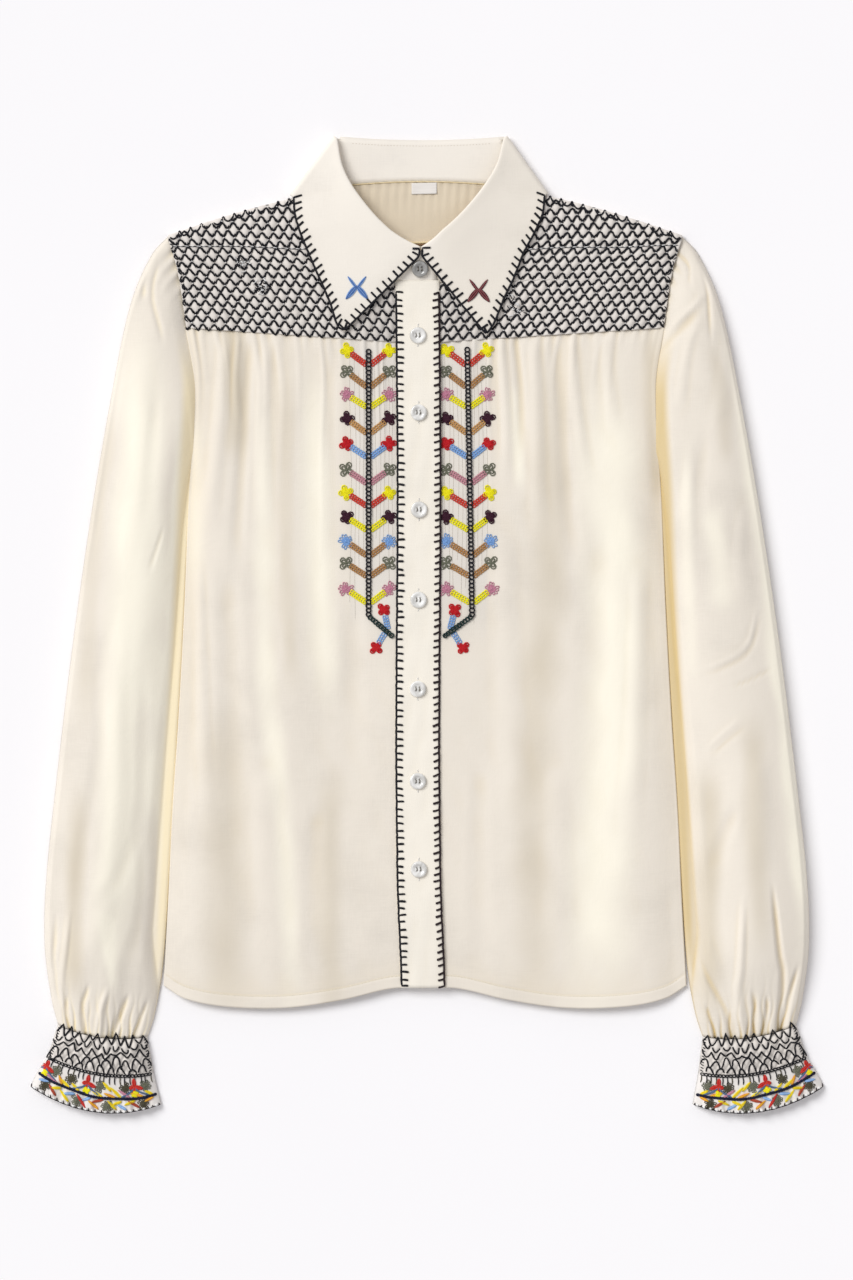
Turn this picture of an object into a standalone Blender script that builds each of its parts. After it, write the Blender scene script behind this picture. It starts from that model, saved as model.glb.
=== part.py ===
"""A folk blouse laid out flat on its back, buttoned up, with its sleeves beside the body.

Sizes are in millimetres: x runs across the garment from the middle of the body, y runs up the
garment from the lowest part of the hem, and z rises from the surface that it lies on. Sides are
the wearer's, so "right" is at negative x. Each piece is a closed wall of cloth.
"""

import math
from collections import namedtuple

import bmesh
import bpy
from mathutils import Vector
from mathutils.geometry import tessellate_polygon

MM = 0.001
SEAM_GAP = 0.3

# Cloth: the lawn and its seam allowances are given one wall, and folded bands a thicker one.
CLOTH = 1.2
BAND_CLOTH = 1.5

# The body, by height above the hem line.
HEM_MIDDLE_Y = 13.0
YOKE_SEAM_MIDDLE_Y = 496.0
YOKE_SEAM_SIDE_Y = 507.5
SHOULDER_SEAM_Y = 568.0
UNDERARM_Y = 412.0
BODY_LOFT = 9.0
SIDE_EDGE_TOP = 3.2
ARMHOLE_EDGE_TOP = 6.6
SIDE_ROUNDING = 30.0
SHOULDER_EDGE_TOP = 6.0
BACK_YOKE_DEPTH = 28.0

# The front band and its buttons.
PLACKET_WIDTH = 33.0
PLACKET_TOP_X = -5.5
PLACKET_HEM_X = -0.8
STAND_SEAM_Y = 541.0
BAND_UNDERLAP = 13.2
PLACKET_RISE = 0.4
BUTTON_RADIUS = 6.35
BUTTON_HEIGHT = 2.4
BUTTON_HOLE_RADIUS = 0.8
BUTTON_HOLE_OFFSET = 1.35
FRONT_BUTTON_YS = (501.8, 444.0, 371.3, 303.8, 237.0, 168.0, 102.0)
COLLAR_BUTTON_Y = 551.5
COLLAR_BUTTON_ASIDE = 2.0

# The neck.
NECK_MIDDLE_X = -2.0
NECK_SIDE_Y = 609.0
BACK_NECK_Y = 617.0
COLLAR_LIFT = 1.7

# Smocking: half a diamond of the honeycomb across and up, and how far each diamond puffs out.
DIAMOND_HALF_WIDTH = 4.1
DIAMOND_PUFF = 1.1
YOKE_FRONT_ROWS = 11
YOKE_TOP_ROWS = 5
CUFF_SMOCK_ROWS = 6
CUFF_HALF_DIAMONDS = 18

# How much further the wearer's left sleeve lies out.
LEFT_SLEEVE_OUT = 3.0

Width = namedtuple("Width", "y half")
BODY_WIDTHS = (
    Width(-2, 195.0),
    Width(14, 194.5),
    Width(81, 191.0),
    Width(147, 188.0),
    Width(213, 183.6),
    Width(300, 179.0),
    Width(380, 176.0),
    Width(463, 172.0),
    Width(508, 178.5),
    Width(550, 185.0),
    Width(577, 193.0),
)

Hem = namedtuple("Hem", "x y")
HEM_CURVE = (
    Hem(0, 13.0),
    Hem(25, 12.5),
    Hem(62, 4.0),
    Hem(105, -2.0),
    Hem(150, -1.0),
    Hem(180, 5.0),
    Hem(196, 14.5),
)

# The shoulder's edge as seen from above, from the armhole to the neck.
Shoulder = namedtuple("Shoulder", "x y")
SHOULDER_LINE = (Shoulder(60, 613.0), Shoulder(96, 605.5), Shoulder(140, 594.0), Shoulder(193, 577.0))

# The neck seam of the front, from the side of the neck down to the front band.
Neck = namedtuple("Neck", "y out")
NECK_SEAM = (
    Neck(541, 17.0),
    Neck(552, 34.0),
    Neck(567, 50.0),
    Neck(590, 67.0),
    Neck(600, 73.0),
    Neck(612, 74.5),
)
NECK_STEP_OUT = (73.5, 73.9)

# Sleeve rows from the armhole to the cuff: the end beside the body, the outer end, the height of
# the puffed top and how far the row bows down the sleeve in its middle.
SleeveRow = namedtuple("SleeveRow", "along inner_x inner_y outer_x outer_y loft bow")
SLEEVE_ROWS = (
    SleeveRow(0.00, 175.1, 412, 193.5, 577.0, 7.2, 0.0),
    SleeveRow(0.04, 175.6, 400, 206.0, 563.0, 12.0, 0.0),
    SleeveRow(0.12, 176.9, 375, 221.0, 527.0, 16.0, 0.0),
    SleeveRow(0.24, 179.1, 325, 235.0, 458.0, 18.0, 0.0),
    SleeveRow(0.40, 182.0, 262, 250.0, 370.0, 19.0, 0.0),
    SleeveRow(0.56, 186.2, 190, 264.5, 268.0, 20.0, 0.0),
    SleeveRow(0.70, 190.3, 118, 276.0, 172.0, 22.0, 0.0),
    SleeveRow(0.82, 194.0, 58, 284.0, 95.0, 23.0, 0.0),
    SleeveRow(0.91, 197.6, 20, 285.2, 44.0, 21.0, 1.5),
    SleeveRow(0.97, 203.0, -8, 280.0, 4.0, 15.0, 3.5),
    SleeveRow(1.00, 208.0, -23.4, 275.3, -14.6, 10.5, 5.0),
)
SLEEVE_LIP = 9.0
SLEEVE_LIP_TOP = 3.4
SLEEVE_EDGE_Z = 1.7

# Cuff rows: smocking to "smock", the flare to "edge".
CuffRow = namedtuple("CuffRow", "along inner_x inner_y outer_x outer_y loft bow")
CUFF_ROWS = (
    CuffRow(0.0, 208.1, -23.8, 275.4, -15.0, 10.5, 5.0),
    CuffRow(0.25, 205.7, -37.5, 279.3, -27.0, 11.5, 5.6),
    CuffRow(0.5, 203.2, -51.0, 283.6, -38.6, 11.5, 6.6),
    CuffRow(0.75, 199.7, -66.2, 290.5, -50.0, 9.5, 10.5),
    CuffRow(1.0, 197.5, -74.3, 296.2, -61.0, 8.0, 12.5),
)
CUFF_SMOCK_END = 0.5
RUFFLE_WAVES = 6
RUFFLE_WAVE_HEIGHT = 1.4

# Soft folds of the front, each from a top point to a low point, with its half width and height.
Fold = namedtuple("Fold", "top_x top_y low_x low_y half height")
RIGHT_FOLDS = (
    Fold(-150, 492, -160, 330, 12, 1.5),
    Fold(-122, 488, -128, 300, 10, -1.4),
    Fold(-96, 480, -98, 60, 20, 1.3),
    Fold(-60, 470, -50, 180, 14, -1.2),
    Fold(-150, 300, -138, 40, 18, -1.4),
    Fold(-170, 250, -160, 120, 10, 1.2),
)
LEFT_FOLDS = (
    Fold(62, 494, 64, 360, 9, 1.7),
    Fold(84, 492, 92, 330, 11, -1.4),
    Fold(104, 490, 118, 240, 16, 1.4),
    Fold(150, 480, 138, 60, 20, -1.3),
    Fold(60, 330, 66, 90, 22, 1.2),
    Fold(112, 200, 104, 30, 18, -1.0),
)

# Gathers under the yoke: places across one front, as shares of its width, and their heights.
Gather = namedtuple("Gather", "at height length")
FRONT_GATHERS = (
    Gather(0.07, 1.1, 60),
    Gather(0.13, 0.8, 34),
    Gather(0.20, 1.3, 90),
    Gather(0.26, 0.9, 40),
    Gather(0.32, 1.2, 52),
    Gather(0.38, 0.8, 30),
    Gather(0.44, 1.4, 96),
    Gather(0.50, 1.0, 40),
    Gather(0.56, 1.2, 64),
    Gather(0.62, 0.8, 36),
    Gather(0.68, 1.3, 74),
    Gather(0.75, 0.9, 40),
    Gather(0.82, 1.0, 50),
    Gather(0.89, 0.7, 32),
)
GATHER_HALF = 0.028

# Gathers of the sleeve into the cuff and at the head, as shares across the sleeve's top.
CUFF_GATHERS = (
    Gather(0.08, 1.8, 0.12),
    Gather(0.17, 1.4, 0.08),
    Gather(0.26, 2.4, 0.22),
    Gather(0.36, 1.6, 0.10),
    Gather(0.45, 2.0, 0.16),
    Gather(0.54, 1.5, 0.09),
    Gather(0.63, 2.4, 0.26),
    Gather(0.73, 1.6, 0.12),
    Gather(0.82, 2.0, 0.20),
    Gather(0.91, 1.4, 0.08),
)
HEAD_GATHERS = (
    Gather(0.70, 1.2, 0.08),
    Gather(0.78, 1.6, 0.14),
    Gather(0.86, 1.8, 0.10),
    Gather(0.93, 1.4, 0.07),
)

# Long soft folds of the sleeve: share across at the start and end, start and end along it.
SleeveFold = namedtuple("SleeveFold", "across_a along_a across_b along_b half height")
RIGHT_SLEEVE_FOLDS = (
    SleeveFold(0.80, 0.06, 0.62, 0.45, 0.10, 2.2),
    SleeveFold(0.45, 0.10, 0.34, 0.60, 0.12, -2.2),
    SleeveFold(0.55, 0.50, 0.70, 0.97, 0.07, -3.4),
    SleeveFold(0.30, 0.62, 0.26, 0.97, 0.10, 2.2),
    SleeveFold(0.86, 0.62, 0.88, 0.95, 0.06, -2.0),
)
LEFT_SLEEVE_FOLDS = (
    SleeveFold(0.84, 0.05, 0.72, 0.40, 0.08, 2.4),
    SleeveFold(0.50, 0.10, 0.42, 0.40, 0.10, -2.0),
    SleeveFold(0.25, 0.56, 0.72, 0.46, 0.05, -2.6),
    SleeveFold(0.36, 0.68, 0.70, 0.56, 0.05, 2.2),
    SleeveFold(0.62, 0.66, 0.72, 0.97, 0.07, -3.0),
    SleeveFold(0.34, 0.70, 0.30, 0.96, 0.09, 2.4),
)

# The collar's fall on the front, from the throat (0) to the side of the neck (1): the roll line
# and the outer edge, as distances out from the neck's middle.
CollarRow = namedtuple("CollarRow", "at roll_out roll_y roll_z right_out right_y left_out left_y")
COLLAR_ROWS = (
    CollarRow(0.00, 0.8, 566.5, 16.8, 58.4, 504.8, 47.8, 501.8),
    CollarRow(0.14, 10.5, 572.0, 17.2, 64.0, 509.0, 53.8, 510.0),
    CollarRow(0.28, 20.0, 579.5, 17.4, 70.0, 527.0, 62.0, 530.0),
    CollarRow(0.42, 31.0, 590.0, 17.2, 76.7, 544.5, 69.5, 546.0),
    CollarRow(0.57, 41.5, 602.5, 16.2, 84.2, 563.0, 75.9, 563.0),
    CollarRow(0.71, 50.5, 615.5, 14.6, 90.5, 580.0, 83.8, 577.5),
    CollarRow(0.86, 57.0, 630.0, 12.0, 93.6, 594.0, 90.0, 592.0),
    CollarRow(1.00, 60.3, 646.5, 8.6, 95.0, 606.6, 92.6, 607.4),
)
FALL_SHARES = (0, 0.07, 0.18, 0.34, 0.52, 0.7, 0.87, 1.0)
COLLAR_CLOTH = 1.3
COLLAR_TIP_LIFT = 2.0
COLLAR_FOLD_OUT = 3.0
COLLAR_BACK_Y = 600.0
STAND_BELOW_ROLL = 1.9
STAND_LAP = 1.6
STAND_LAP_REACH = (14.5, 12.5)
STAND_UNDERLAP_REACH = (-5.0, -5.0)
STAND_SEAM_INSET = 1.0
STAND_FOLD_OUT = 1.0
STAND_TOP_BACK_Y = 646.4
BACK_STAND_Z = 2.3

LABEL_WIDTH = 21.0
LABEL_DEPTH = 9.0
LABEL_TOP_Y = 616.6
LABEL_CLOTH = 1.0


# Curves and profiles


def clamp(value, low=0.0, high=1.0):
    return max(low, min(high, value))


def ease(t):
    """0 to 1, with no slope at either end."""
    t = clamp(t)
    return t * t * (3 - 2 * t)


def swell(t):
    """0 to 1 along a quarter of a sine wave, steep first and then flat."""
    return math.sin(math.pi / 2 * clamp(t))


def along_table(rows, key, column, at):
    """A column of a table at a value of its key, on a smooth curve through the rows."""
    keys = [getattr(row, key) for row in rows]
    values = [getattr(row, column) for row in rows]
    at = clamp(at, keys[0], keys[-1])
    i = max(k for k in range(len(keys) - 1) if keys[k] <= at)

    def slope(k):
        low, high = max(k - 1, 0), min(k + 1, len(keys) - 1)
        return (values[high] - values[low]) / (keys[high] - keys[low])

    span = keys[i + 1] - keys[i]
    t = (at - keys[i]) / span
    start = (2 * t**3 - 3 * t**2 + 1) * values[i] + (t**3 - 2 * t**2 + t) * span * slope(i)
    end = (3 * t**2 - 2 * t**3) * values[i + 1] + (t**3 - t**2) * span * slope(i + 1)
    return start + end


def shares(count):
    return [k / count for k in range(count + 1)]


def ridge(offset, half):
    """A rounded ridge, 1 on its line and 0 from its half width on."""
    return 0.5 + 0.5 * math.cos(math.pi * clamp(abs(offset) / half))


def fold_height(folds, x, y):
    total = 0.0
    for fold in folds:
        t = (fold.top_y - y) / (fold.top_y - fold.low_y)
        middle = fold.top_x + (fold.low_x - fold.top_x) * t
        fade = ease(t / 0.2) * ease((1 - t) / 0.35)
        total += fold.height * fade * ridge(x - middle, fold.half)
    return total


# The shape of the body


def body_half(y):
    """Half the body's width at a height."""
    return along_table(BODY_WIDTHS, "y", "half", y)


def hem_y(x):
    return along_table(HEM_CURVE, "x", "y", abs(x))


def shoulder_y(x):
    return along_table(SHOULDER_LINE, "x", "y", abs(x))


def yoke_seam_y(x):
    return YOKE_SEAM_MIDDLE_Y + (YOKE_SEAM_SIDE_Y - YOKE_SEAM_MIDDLE_Y) * abs(x) / body_half(507)


def placket_x(y):
    """The middle of the front band, which leans a little."""
    return PLACKET_HEM_X + (PLACKET_TOP_X - PLACKET_HEM_X) * clamp((y - HEM_MIDDLE_Y) / (STAND_SEAM_Y - HEM_MIDDLE_Y))


def body_top(x, y):
    """Height of the outer face of the front, without its folds."""
    edge = SIDE_EDGE_TOP + (ARMHOLE_EDGE_TOP - SIDE_EDGE_TOP) * ease((y - 385) / 60)
    side = edge + (BODY_LOFT - edge) * swell((body_half(y) - abs(x)) / SIDE_ROUNDING)
    shoulder = SHOULDER_EDGE_TOP + (BODY_LOFT - SHOULDER_EDGE_TOP) * swell((shoulder_y(x) - y) / 45)
    hem = 1.0 - 0.1 * ease((60 - y + hem_y(x)) / 60)
    return min(side, shoulder + 1.0, side * shoulder / BODY_LOFT + 0.6) * hem


def front_top(x, y):
    """Height of the outer face of the front with its long folds."""
    folds = RIGHT_FOLDS if x < 0 else LEFT_FOLDS
    inside = ease((body_half(y) - abs(x)) / 16) * ease((abs(x - placket_x(y)) - 22) / 22)
    return body_top(x, y) + inside * fold_height(folds, x, y)


def collar_lift(x, y):
    """How far the back of the neck is held up by the collar's fall beneath it."""
    return COLLAR_LIFT * ease((y - 560) / 16) * ease((112 - abs(x - NECK_MIDDLE_X)) / 13)


# Building walls


class Wall:
    """The points and triangles of one closed wall, gathered strip by strip."""

    def __init__(self):
        self.points = []
        self.faces = []

    def row(self, points):
        first = len(self.points)
        self.points += [tuple(value * MM for value in point) for point in points]
        return list(range(first, len(self.points)))

    def strip(self, low, high):
        """Triangles between two rows, which may have different numbers of points."""
        i = j = 0
        while i < len(low) - 1 or j < len(high) - 1:
            next_low = (i + 1) / (len(low) - 1) if i < len(low) - 1 else 2
            next_high = (j + 1) / (len(high) - 1) if j < len(high) - 1 else 2
            if next_low <= next_high:
                self.faces.append((low[i], low[i + 1], high[j]))
                i += 1
            else:
                self.faces.append((low[i], high[j + 1], high[j]))
                j += 1

    def strips(self, rows):
        for low, high in zip(rows, rows[1:]):
            self.strip(low, high)

    def lattice(self, rows):
        """Smocking: each quad is split along its black stitch, from stitched point to stitched point."""
        for j, (low, high) in enumerate(zip(rows, rows[1:])):
            for i in range(len(low) - 1):
                a, b, c, d = low[i], low[i + 1], high[i + 1], high[i]
                pair = ((a, b, c), (a, c, d)) if (i + j) % 2 == 0 else ((a, b, d), (b, c, d))
                self.faces += pair


def closed_sheet(outer_rows, inner_rows, lattice_rows=0):
    """A wall between an outer and an inner face, the first rows of the outer one smocked."""
    wall = Wall()
    outer = [wall.row(points) for points in outer_rows]
    inner = [wall.row(points) for points in inner_rows]
    if lattice_rows:
        wall.lattice(outer[: lattice_rows + 1])
    wall.strips(outer[lattice_rows:])
    wall.strips(inner)
    wall.strip(outer[0], inner[0])
    wall.strip(outer[-1], inner[-1])
    wall.strip([row[0] for row in outer], [row[0] for row in inner])
    wall.strip([row[-1] for row in outer], [row[-1] for row in inner])
    return wall


def thickened(rows, thickness):
    """Outer and inner faces, half the thickness to each side of a middle sheet of points."""
    outer, inner = [], []
    for j, row in enumerate(rows):
        outer_row, inner_row = [], []
        for i, point in enumerate(row):
            across = Vector(row[min(i + 1, len(row) - 1)]) - Vector(row[max(i - 1, 0)])
            along = Vector(rows[min(j + 1, len(rows) - 1)][i]) - Vector(rows[max(j - 1, 0)][i])
            normal = across.cross(along).normalized() * (thickness / 2)
            outer_row.append(Vector(point) + normal)
            inner_row.append(Vector(point) - normal)
        outer.append(outer_row)
        inner.append(inner_row)
    return outer, inner


def cloth_material(name, colour, roughness):
    material = bpy.data.materials.new(name)
    material.use_nodes = True
    shader = material.node_tree.nodes["Principled BSDF"]
    shader.inputs["Base Color"].default_value = (*colour, 1)
    shader.inputs["Roughness"].default_value = roughness
    shader.inputs["Metallic"].default_value = 0.0
    return material


def make_piece(name, wall, material, garment):
    mesh = bpy.data.meshes.new(name)
    mesh.from_pydata(wall.points, [], wall.faces)
    shell = bmesh.new()
    shell.from_mesh(mesh)
    bmesh.ops.recalc_face_normals(shell, faces=shell.faces)
    shell.to_mesh(mesh)
    shell.free()
    mesh.shade_smooth()
    mesh.set_sharp_from_angle(angle=math.radians(40))
    piece = bpy.data.objects.new(name, mesh)
    piece.data.materials.append(material)
    piece.parent = garment
    bpy.context.scene.collection.objects.link(piece)
    return piece


# Body pieces


def front_edges(side, y):
    """The side seam's end and the band's end of one front at a height, in x."""
    seam = side * (body_half(y) - 0.5)
    band = placket_x(y) + side * (BAND_UNDERLAP + SEAM_GAP)
    return seam, band


def front_rows(side, columns, heights, top, lift):
    """Rows of one front from the yoke seam to the hem."""
    rows = []
    for share in heights:
        row = []
        for t in shares(columns):
            y = 250
            for _ in range(3):
                seam, band = front_edges(side, y)
                x = seam + (band - seam) * t
                start, end = yoke_seam_y(x) - SEAM_GAP, hem_y(x)
                y = start + (end - start) * share
            row.append((x, y, top(x, y, t, start - y) - lift))
        rows.append(row)
    return rows


def gathered_top(x, y, t, below):
    """The front's outer face with the gathers that the yoke seam sets into it."""
    height = front_top(x, y)
    for gather in FRONT_GATHERS:
        fade = math.exp(-((below / gather.length) ** 2)) * ease((below + 8) / 12)
        height += gather.height * fade * ridge(t - gather.at, GATHER_HALF)
    return height


def plain_top(x, y, t, below):
    return front_top(x, y)


def front_panel(side):
    fine = [0.0, 0.012, 0.03, 0.055, 0.09, 0.135]
    coarse = [0.17, 0.21, 0.26] + [0.26 + (1 - 0.26) * t for t in shares(11)][1:]
    outer = front_rows(side, 56, fine, gathered_top, 0.0)
    outer += front_rows(side, 18, coarse, gathered_top, 0.0)
    inner_shares = [0, 0.045, 0.09, 0.13] + coarse
    inner = front_rows(side, 14, inner_shares, plain_top, CLOTH + 0.2)
    return closed_sheet(outer, inner)


def back_top_y(x):
    """The top edge of the back: the yoke's seam at the shoulders and the neck seam between."""
    out = abs(x - NECK_MIDDLE_X)
    if out < sum(NECK_STEP_OUT) / 2:
        return BACK_NECK_Y - 5.0 * (out / 74) ** 2
    return shoulder_y(x) - BACK_YOKE_DEPTH - SEAM_GAP


def back_panel():
    """The back lies on the surface, and is lifted only where the collar's fall lies under it."""
    one_side = [20, 40, 58, NECK_STEP_OUT[0], NECK_STEP_OUT[1], 84, 96, 108, 120, 150, 180]
    places = [-out for out in reversed(one_side)] + [0] + one_side
    under, above = [], []
    for share in [0.88 * t for t in shares(24)] + [0.91, 0.935, 0.96, 0.98, 1.0]:
        low, high = [], []
        for place in places:
            x = place + NECK_MIDDLE_X
            for _ in range(3):
                y = hem_y(x) + (back_top_y(x) - hem_y(x)) * share
                edge = math.copysign(body_half(y) - 0.4, place)
                spread = clamp((abs(place) - 120) / 60)
                x = (place + NECK_MIDDLE_X) * (1 - spread) + spread * edge * (abs(place) / 180)
            low.append((x, y, collar_lift(x, y)))
            high.append((x, y, collar_lift(x, y) + CLOTH))
        under.append(low)
        above.append(high)
    return closed_sheet(above, under)


def neck_out(y):
    return along_table(NECK_SEAM, "y", "out", y)


def yoke_ends(side, share):
    """The armhole end and the centre end of a yoke row: 0 is the seam below and 1 the shoulder."""
    seam = YOKE_FRONT_ROWS / (YOKE_FRONT_ROWS + YOKE_TOP_ROWS)
    if share <= seam:
        t = share / seam
        outer_y = YOKE_SEAM_SIDE_Y + (SHOULDER_SEAM_Y + 1 - YOKE_SEAM_SIDE_Y) * t
        inner_y = YOKE_SEAM_MIDDLE_Y + 1.4 + (SHOULDER_SEAM_Y - 2.4 - YOKE_SEAM_MIDDLE_Y) * t
    else:
        t = (share - seam) / (1 - seam)
        outer_y = SHOULDER_SEAM_Y + 1 + (577.0 - 3.0 - SHOULDER_SEAM_Y - 1) * t
        inner_y = SHOULDER_SEAM_Y - 1 + (NECK_SIDE_Y - 3.0 - SHOULDER_SEAM_Y + 1) * t
    outer_x = side * (body_half(outer_y) - 0.2)
    if inner_y < STAND_SEAM_Y:
        inner_x = placket_x(inner_y) + side * (BAND_UNDERLAP + SEAM_GAP)
    else:
        inner_x = NECK_MIDDLE_X + side * neck_out(inner_y)
    return (outer_x, outer_y), (inner_x, inner_y)


def yoke_row(side, share, columns, height):
    (ax, ay), (bx, by) = yoke_ends(side, share)
    seam = YOKE_FRONT_ROWS / (YOKE_FRONT_ROWS + YOKE_TOP_ROWS)
    bend = clamp((share - seam) / (1 - seam))
    (top_ax, top_ay), (top_bx, top_by) = yoke_ends(side, 1.0)
    row = []
    for i, t in enumerate(shares(columns)):
        x, y = ax + (bx - ax) * t, ay + (by - ay) * t
        top_x, top_y = top_ax + (top_bx - top_ax) * t, top_ay + (top_by - top_ay) * t
        y += bend * (shoulder_y(top_x) - 3.0 - top_y)
        row.append((x, y, height(x, y, i)))
    return row


def shoulder_wrap(row, outward):
    """The rows that carry a yoke over the shoulder's fold and on to the back, from its top row."""
    rows = []
    radius = SHOULDER_EDGE_TOP / 2 if outward else SHOULDER_EDGE_TOP / 2 - CLOTH
    for angle in (60, 20, -20, -60, -90):
        turn = math.radians(angle)
        points = []
        for x, y, z in row:
            lift = collar_lift(x, y)
            middle = (z + lift) / 2 if outward else (z + lift + CLOTH) / 2
            rise = z - middle
            points.append((x, y + radius * math.cos(turn), middle + rise * math.sin(turn)))
        rows.append(points)
    for share in (0.45, 1.0):
        points = []
        for x, y, z in row:
            narrowing = body_half(y) - body_half(y + 3.0 - BACK_YOKE_DEPTH * share)
            narrowed = x - math.copysign(narrowing * clamp((abs(x) - 100) / 90), x)
            down = y + (shoulder_y(narrowed) - BACK_YOKE_DEPTH - y) * share
            points.append((narrowed, down, collar_lift(narrowed, down) + (0 if outward else CLOTH)))
        rows.append(points)
    return rows


def yoke(side):
    """A smocked yoke over one shoulder, from the gathered front to a seam on the back."""
    rows_up = YOKE_FRONT_ROWS + YOKE_TOP_ROWS
    columns = 2 * round(158 / DIAMOND_HALF_WIDTH / 2)

    def puffed(row_number):
        def height(x, y, column):
            raised = (column + row_number) % 2 == 1 and 0 < row_number < rows_up
            clear = abs(x - placket_x(y)) > PLACKET_WIDTH / 2 + DIAMOND_HALF_WIDTH + 1.5
            return body_top(x, y) + (DIAMOND_PUFF if raised and clear else 0.0)

        return height

    outer = [yoke_row(side, j / rows_up, columns, puffed(j)) for j in range(rows_up + 1)]
    inner = [yoke_row(side, t, 7, lambda x, y, i: body_top(x, y) - CLOTH) for t in shares(rows_up)]
    coarse = yoke_row(side, 1.0, 14, lambda x, y, i: body_top(x, y))
    outer += shoulder_wrap(coarse, True)
    inner += shoulder_wrap(inner[-1], False)
    return closed_sheet(outer, inner, rows_up)


# Front band


def band_rows(half, steps, base):
    """Rows up a band on the middle line of the front, from the hem to the collar stand."""
    rows = []
    for share in shares(steps):
        row = []
        for t in shares(4):
            offset = half * (2 * t - 1)
            start = hem_y(offset)
            y = start + (STAND_SEAM_Y - start) * share
            x = placket_x(y) + offset
            row.append((x, y, body_top(x, y) + base))
        rows.append(row)
    return rows


def button_band():
    """The underlap that carries the buttons, level with the fronts and hidden by the placket."""
    outer = band_rows(BAND_UNDERLAP, 10, 0.0)
    inner = band_rows(BAND_UNDERLAP, 10, -CLOTH)
    return closed_sheet(outer, inner)


def placket():
    outer = band_rows(PLACKET_WIDTH / 2, 22, PLACKET_RISE + BAND_CLOTH)
    inner = band_rows(PLACKET_WIDTH / 2, 22, PLACKET_RISE)
    return closed_sheet(outer, inner)


# Sleeves and cuffs


def sleeve_plan(side, rows, along, across):
    """A point of a sleeve or cuff seen from above: across is 0 beside the body and 1 outside."""
    value = {c: along_table(rows, "along", c, along) for c in rows[0]._fields}
    x = value["inner_x"] + (value["outer_x"] - value["inner_x"]) * across
    y = value["inner_y"] + (value["outer_y"] - value["inner_y"]) * across
    y -= value["bow"] * 4 * across * (1 - across)
    out = across + (1 - across) * along
    if rows is SLEEVE_ROWS:
        head = rows[0]
        seam_y = head.inner_y + (head.outer_y - head.inner_y) * across
        sag = head.inner_x + (head.outer_x - head.inner_x) * across - body_half(seam_y) - 0.6
        x -= sag * ease(1 - along / 0.22)
        out = along * across
    if side > 0:
        x += LEFT_SLEEVE_OUT * out
    return side * x, y


def sleeve_folds(folds, along, across):
    total = 0.0
    for fold in folds:
        t = (along - fold.along_a) / (fold.along_b - fold.along_a)
        middle = fold.across_a + (fold.across_b - fold.across_a) * t
        fade = ease(t / 0.25) * ease((1 - t) / 0.25)
        total += fold.height * fade * ridge(across - middle, fold.half)
    return total


def tube_height(loft, width, across, lip):
    """Height of a flattened tube's top: a low lip on the body's side, then a full round."""
    from_body = width * across
    from_outside = width * (1 - across)
    body_side = SLEEVE_EDGE_Z + (SLEEVE_LIP_TOP - SLEEVE_EDGE_Z) * swell(from_body / 3)
    body_side += (loft - SLEEVE_LIP_TOP) * swell((from_body - lip) / 22)
    outside = SLEEVE_EDGE_Z + (loft - SLEEVE_EDGE_Z) * swell(from_outside / 16)
    return min(body_side, outside)


def tube_row(side, rows, along, columns, extra, inset):
    """The top of a tube across one row, moved in from its two edges and down by an inset."""
    loft = along_table(rows, "along", "loft", along)
    ends = [Vector(sleeve_plan(side, rows, along, t)) for t in (0, 1)]
    width = (ends[1] - ends[0]).length
    lip = 0.0
    if rows is SLEEVE_ROWS:
        lip = SLEEVE_LIP * ease(along / 0.06) * ease((0.96 - along) / 0.14)
    margin = 1.3 * inset / width
    row = []
    for t in shares(columns):
        across = margin + (1 - 2 * margin) * t
        x, y = sleeve_plan(side, rows, along, across)
        soft = ease((width * across - lip) / 14) * ease(width * (1 - across) / 14)
        z = tube_height(loft, width, across, lip) + soft * extra(along, across) - inset
        row.append((x, y, max(z, SLEEVE_EDGE_Z)))
    return row


def tube(side, rows, outer_alongs, columns, extra, inner_alongs, inner_extra, lattice_rows=0):
    """A sleeve or cuff: a round top over a flat underside, open at both ends."""
    wall = Wall()
    skins = []
    for alongs, inset in ((outer_alongs, 0.0), (inner_alongs, CLOTH)):
        tops, bottoms = [], []
        for along in alongs:
            count = 16 if inset else columns(along)
            bulge = inner_extra if inset else extra
            tops.append(wall.row(tube_row(side, rows, along, count, bulge, inset)))
            flat = []
            for across in (0.97, 0.75, 0.5, 0.25, 0.03):
                x, y = sleeve_plan(side, rows, along, across)
                flat.append((x, y, inset))
            bottoms.append([tops[-1][-1]] + wall.row(flat) + [tops[-1][0]])
        if lattice_rows and not inset:
            wall.lattice(tops[: lattice_rows + 1])
            wall.strips(tops[lattice_rows:])
        else:
            wall.strips(tops)
        wall.strips(bottoms)
        skins.append((tops, bottoms))
    for end in (0, -1):
        wall.strip(skins[0][0][end], skins[1][0][end])
        wall.strip(skins[0][1][end], skins[1][1][end])
    return wall


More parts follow.
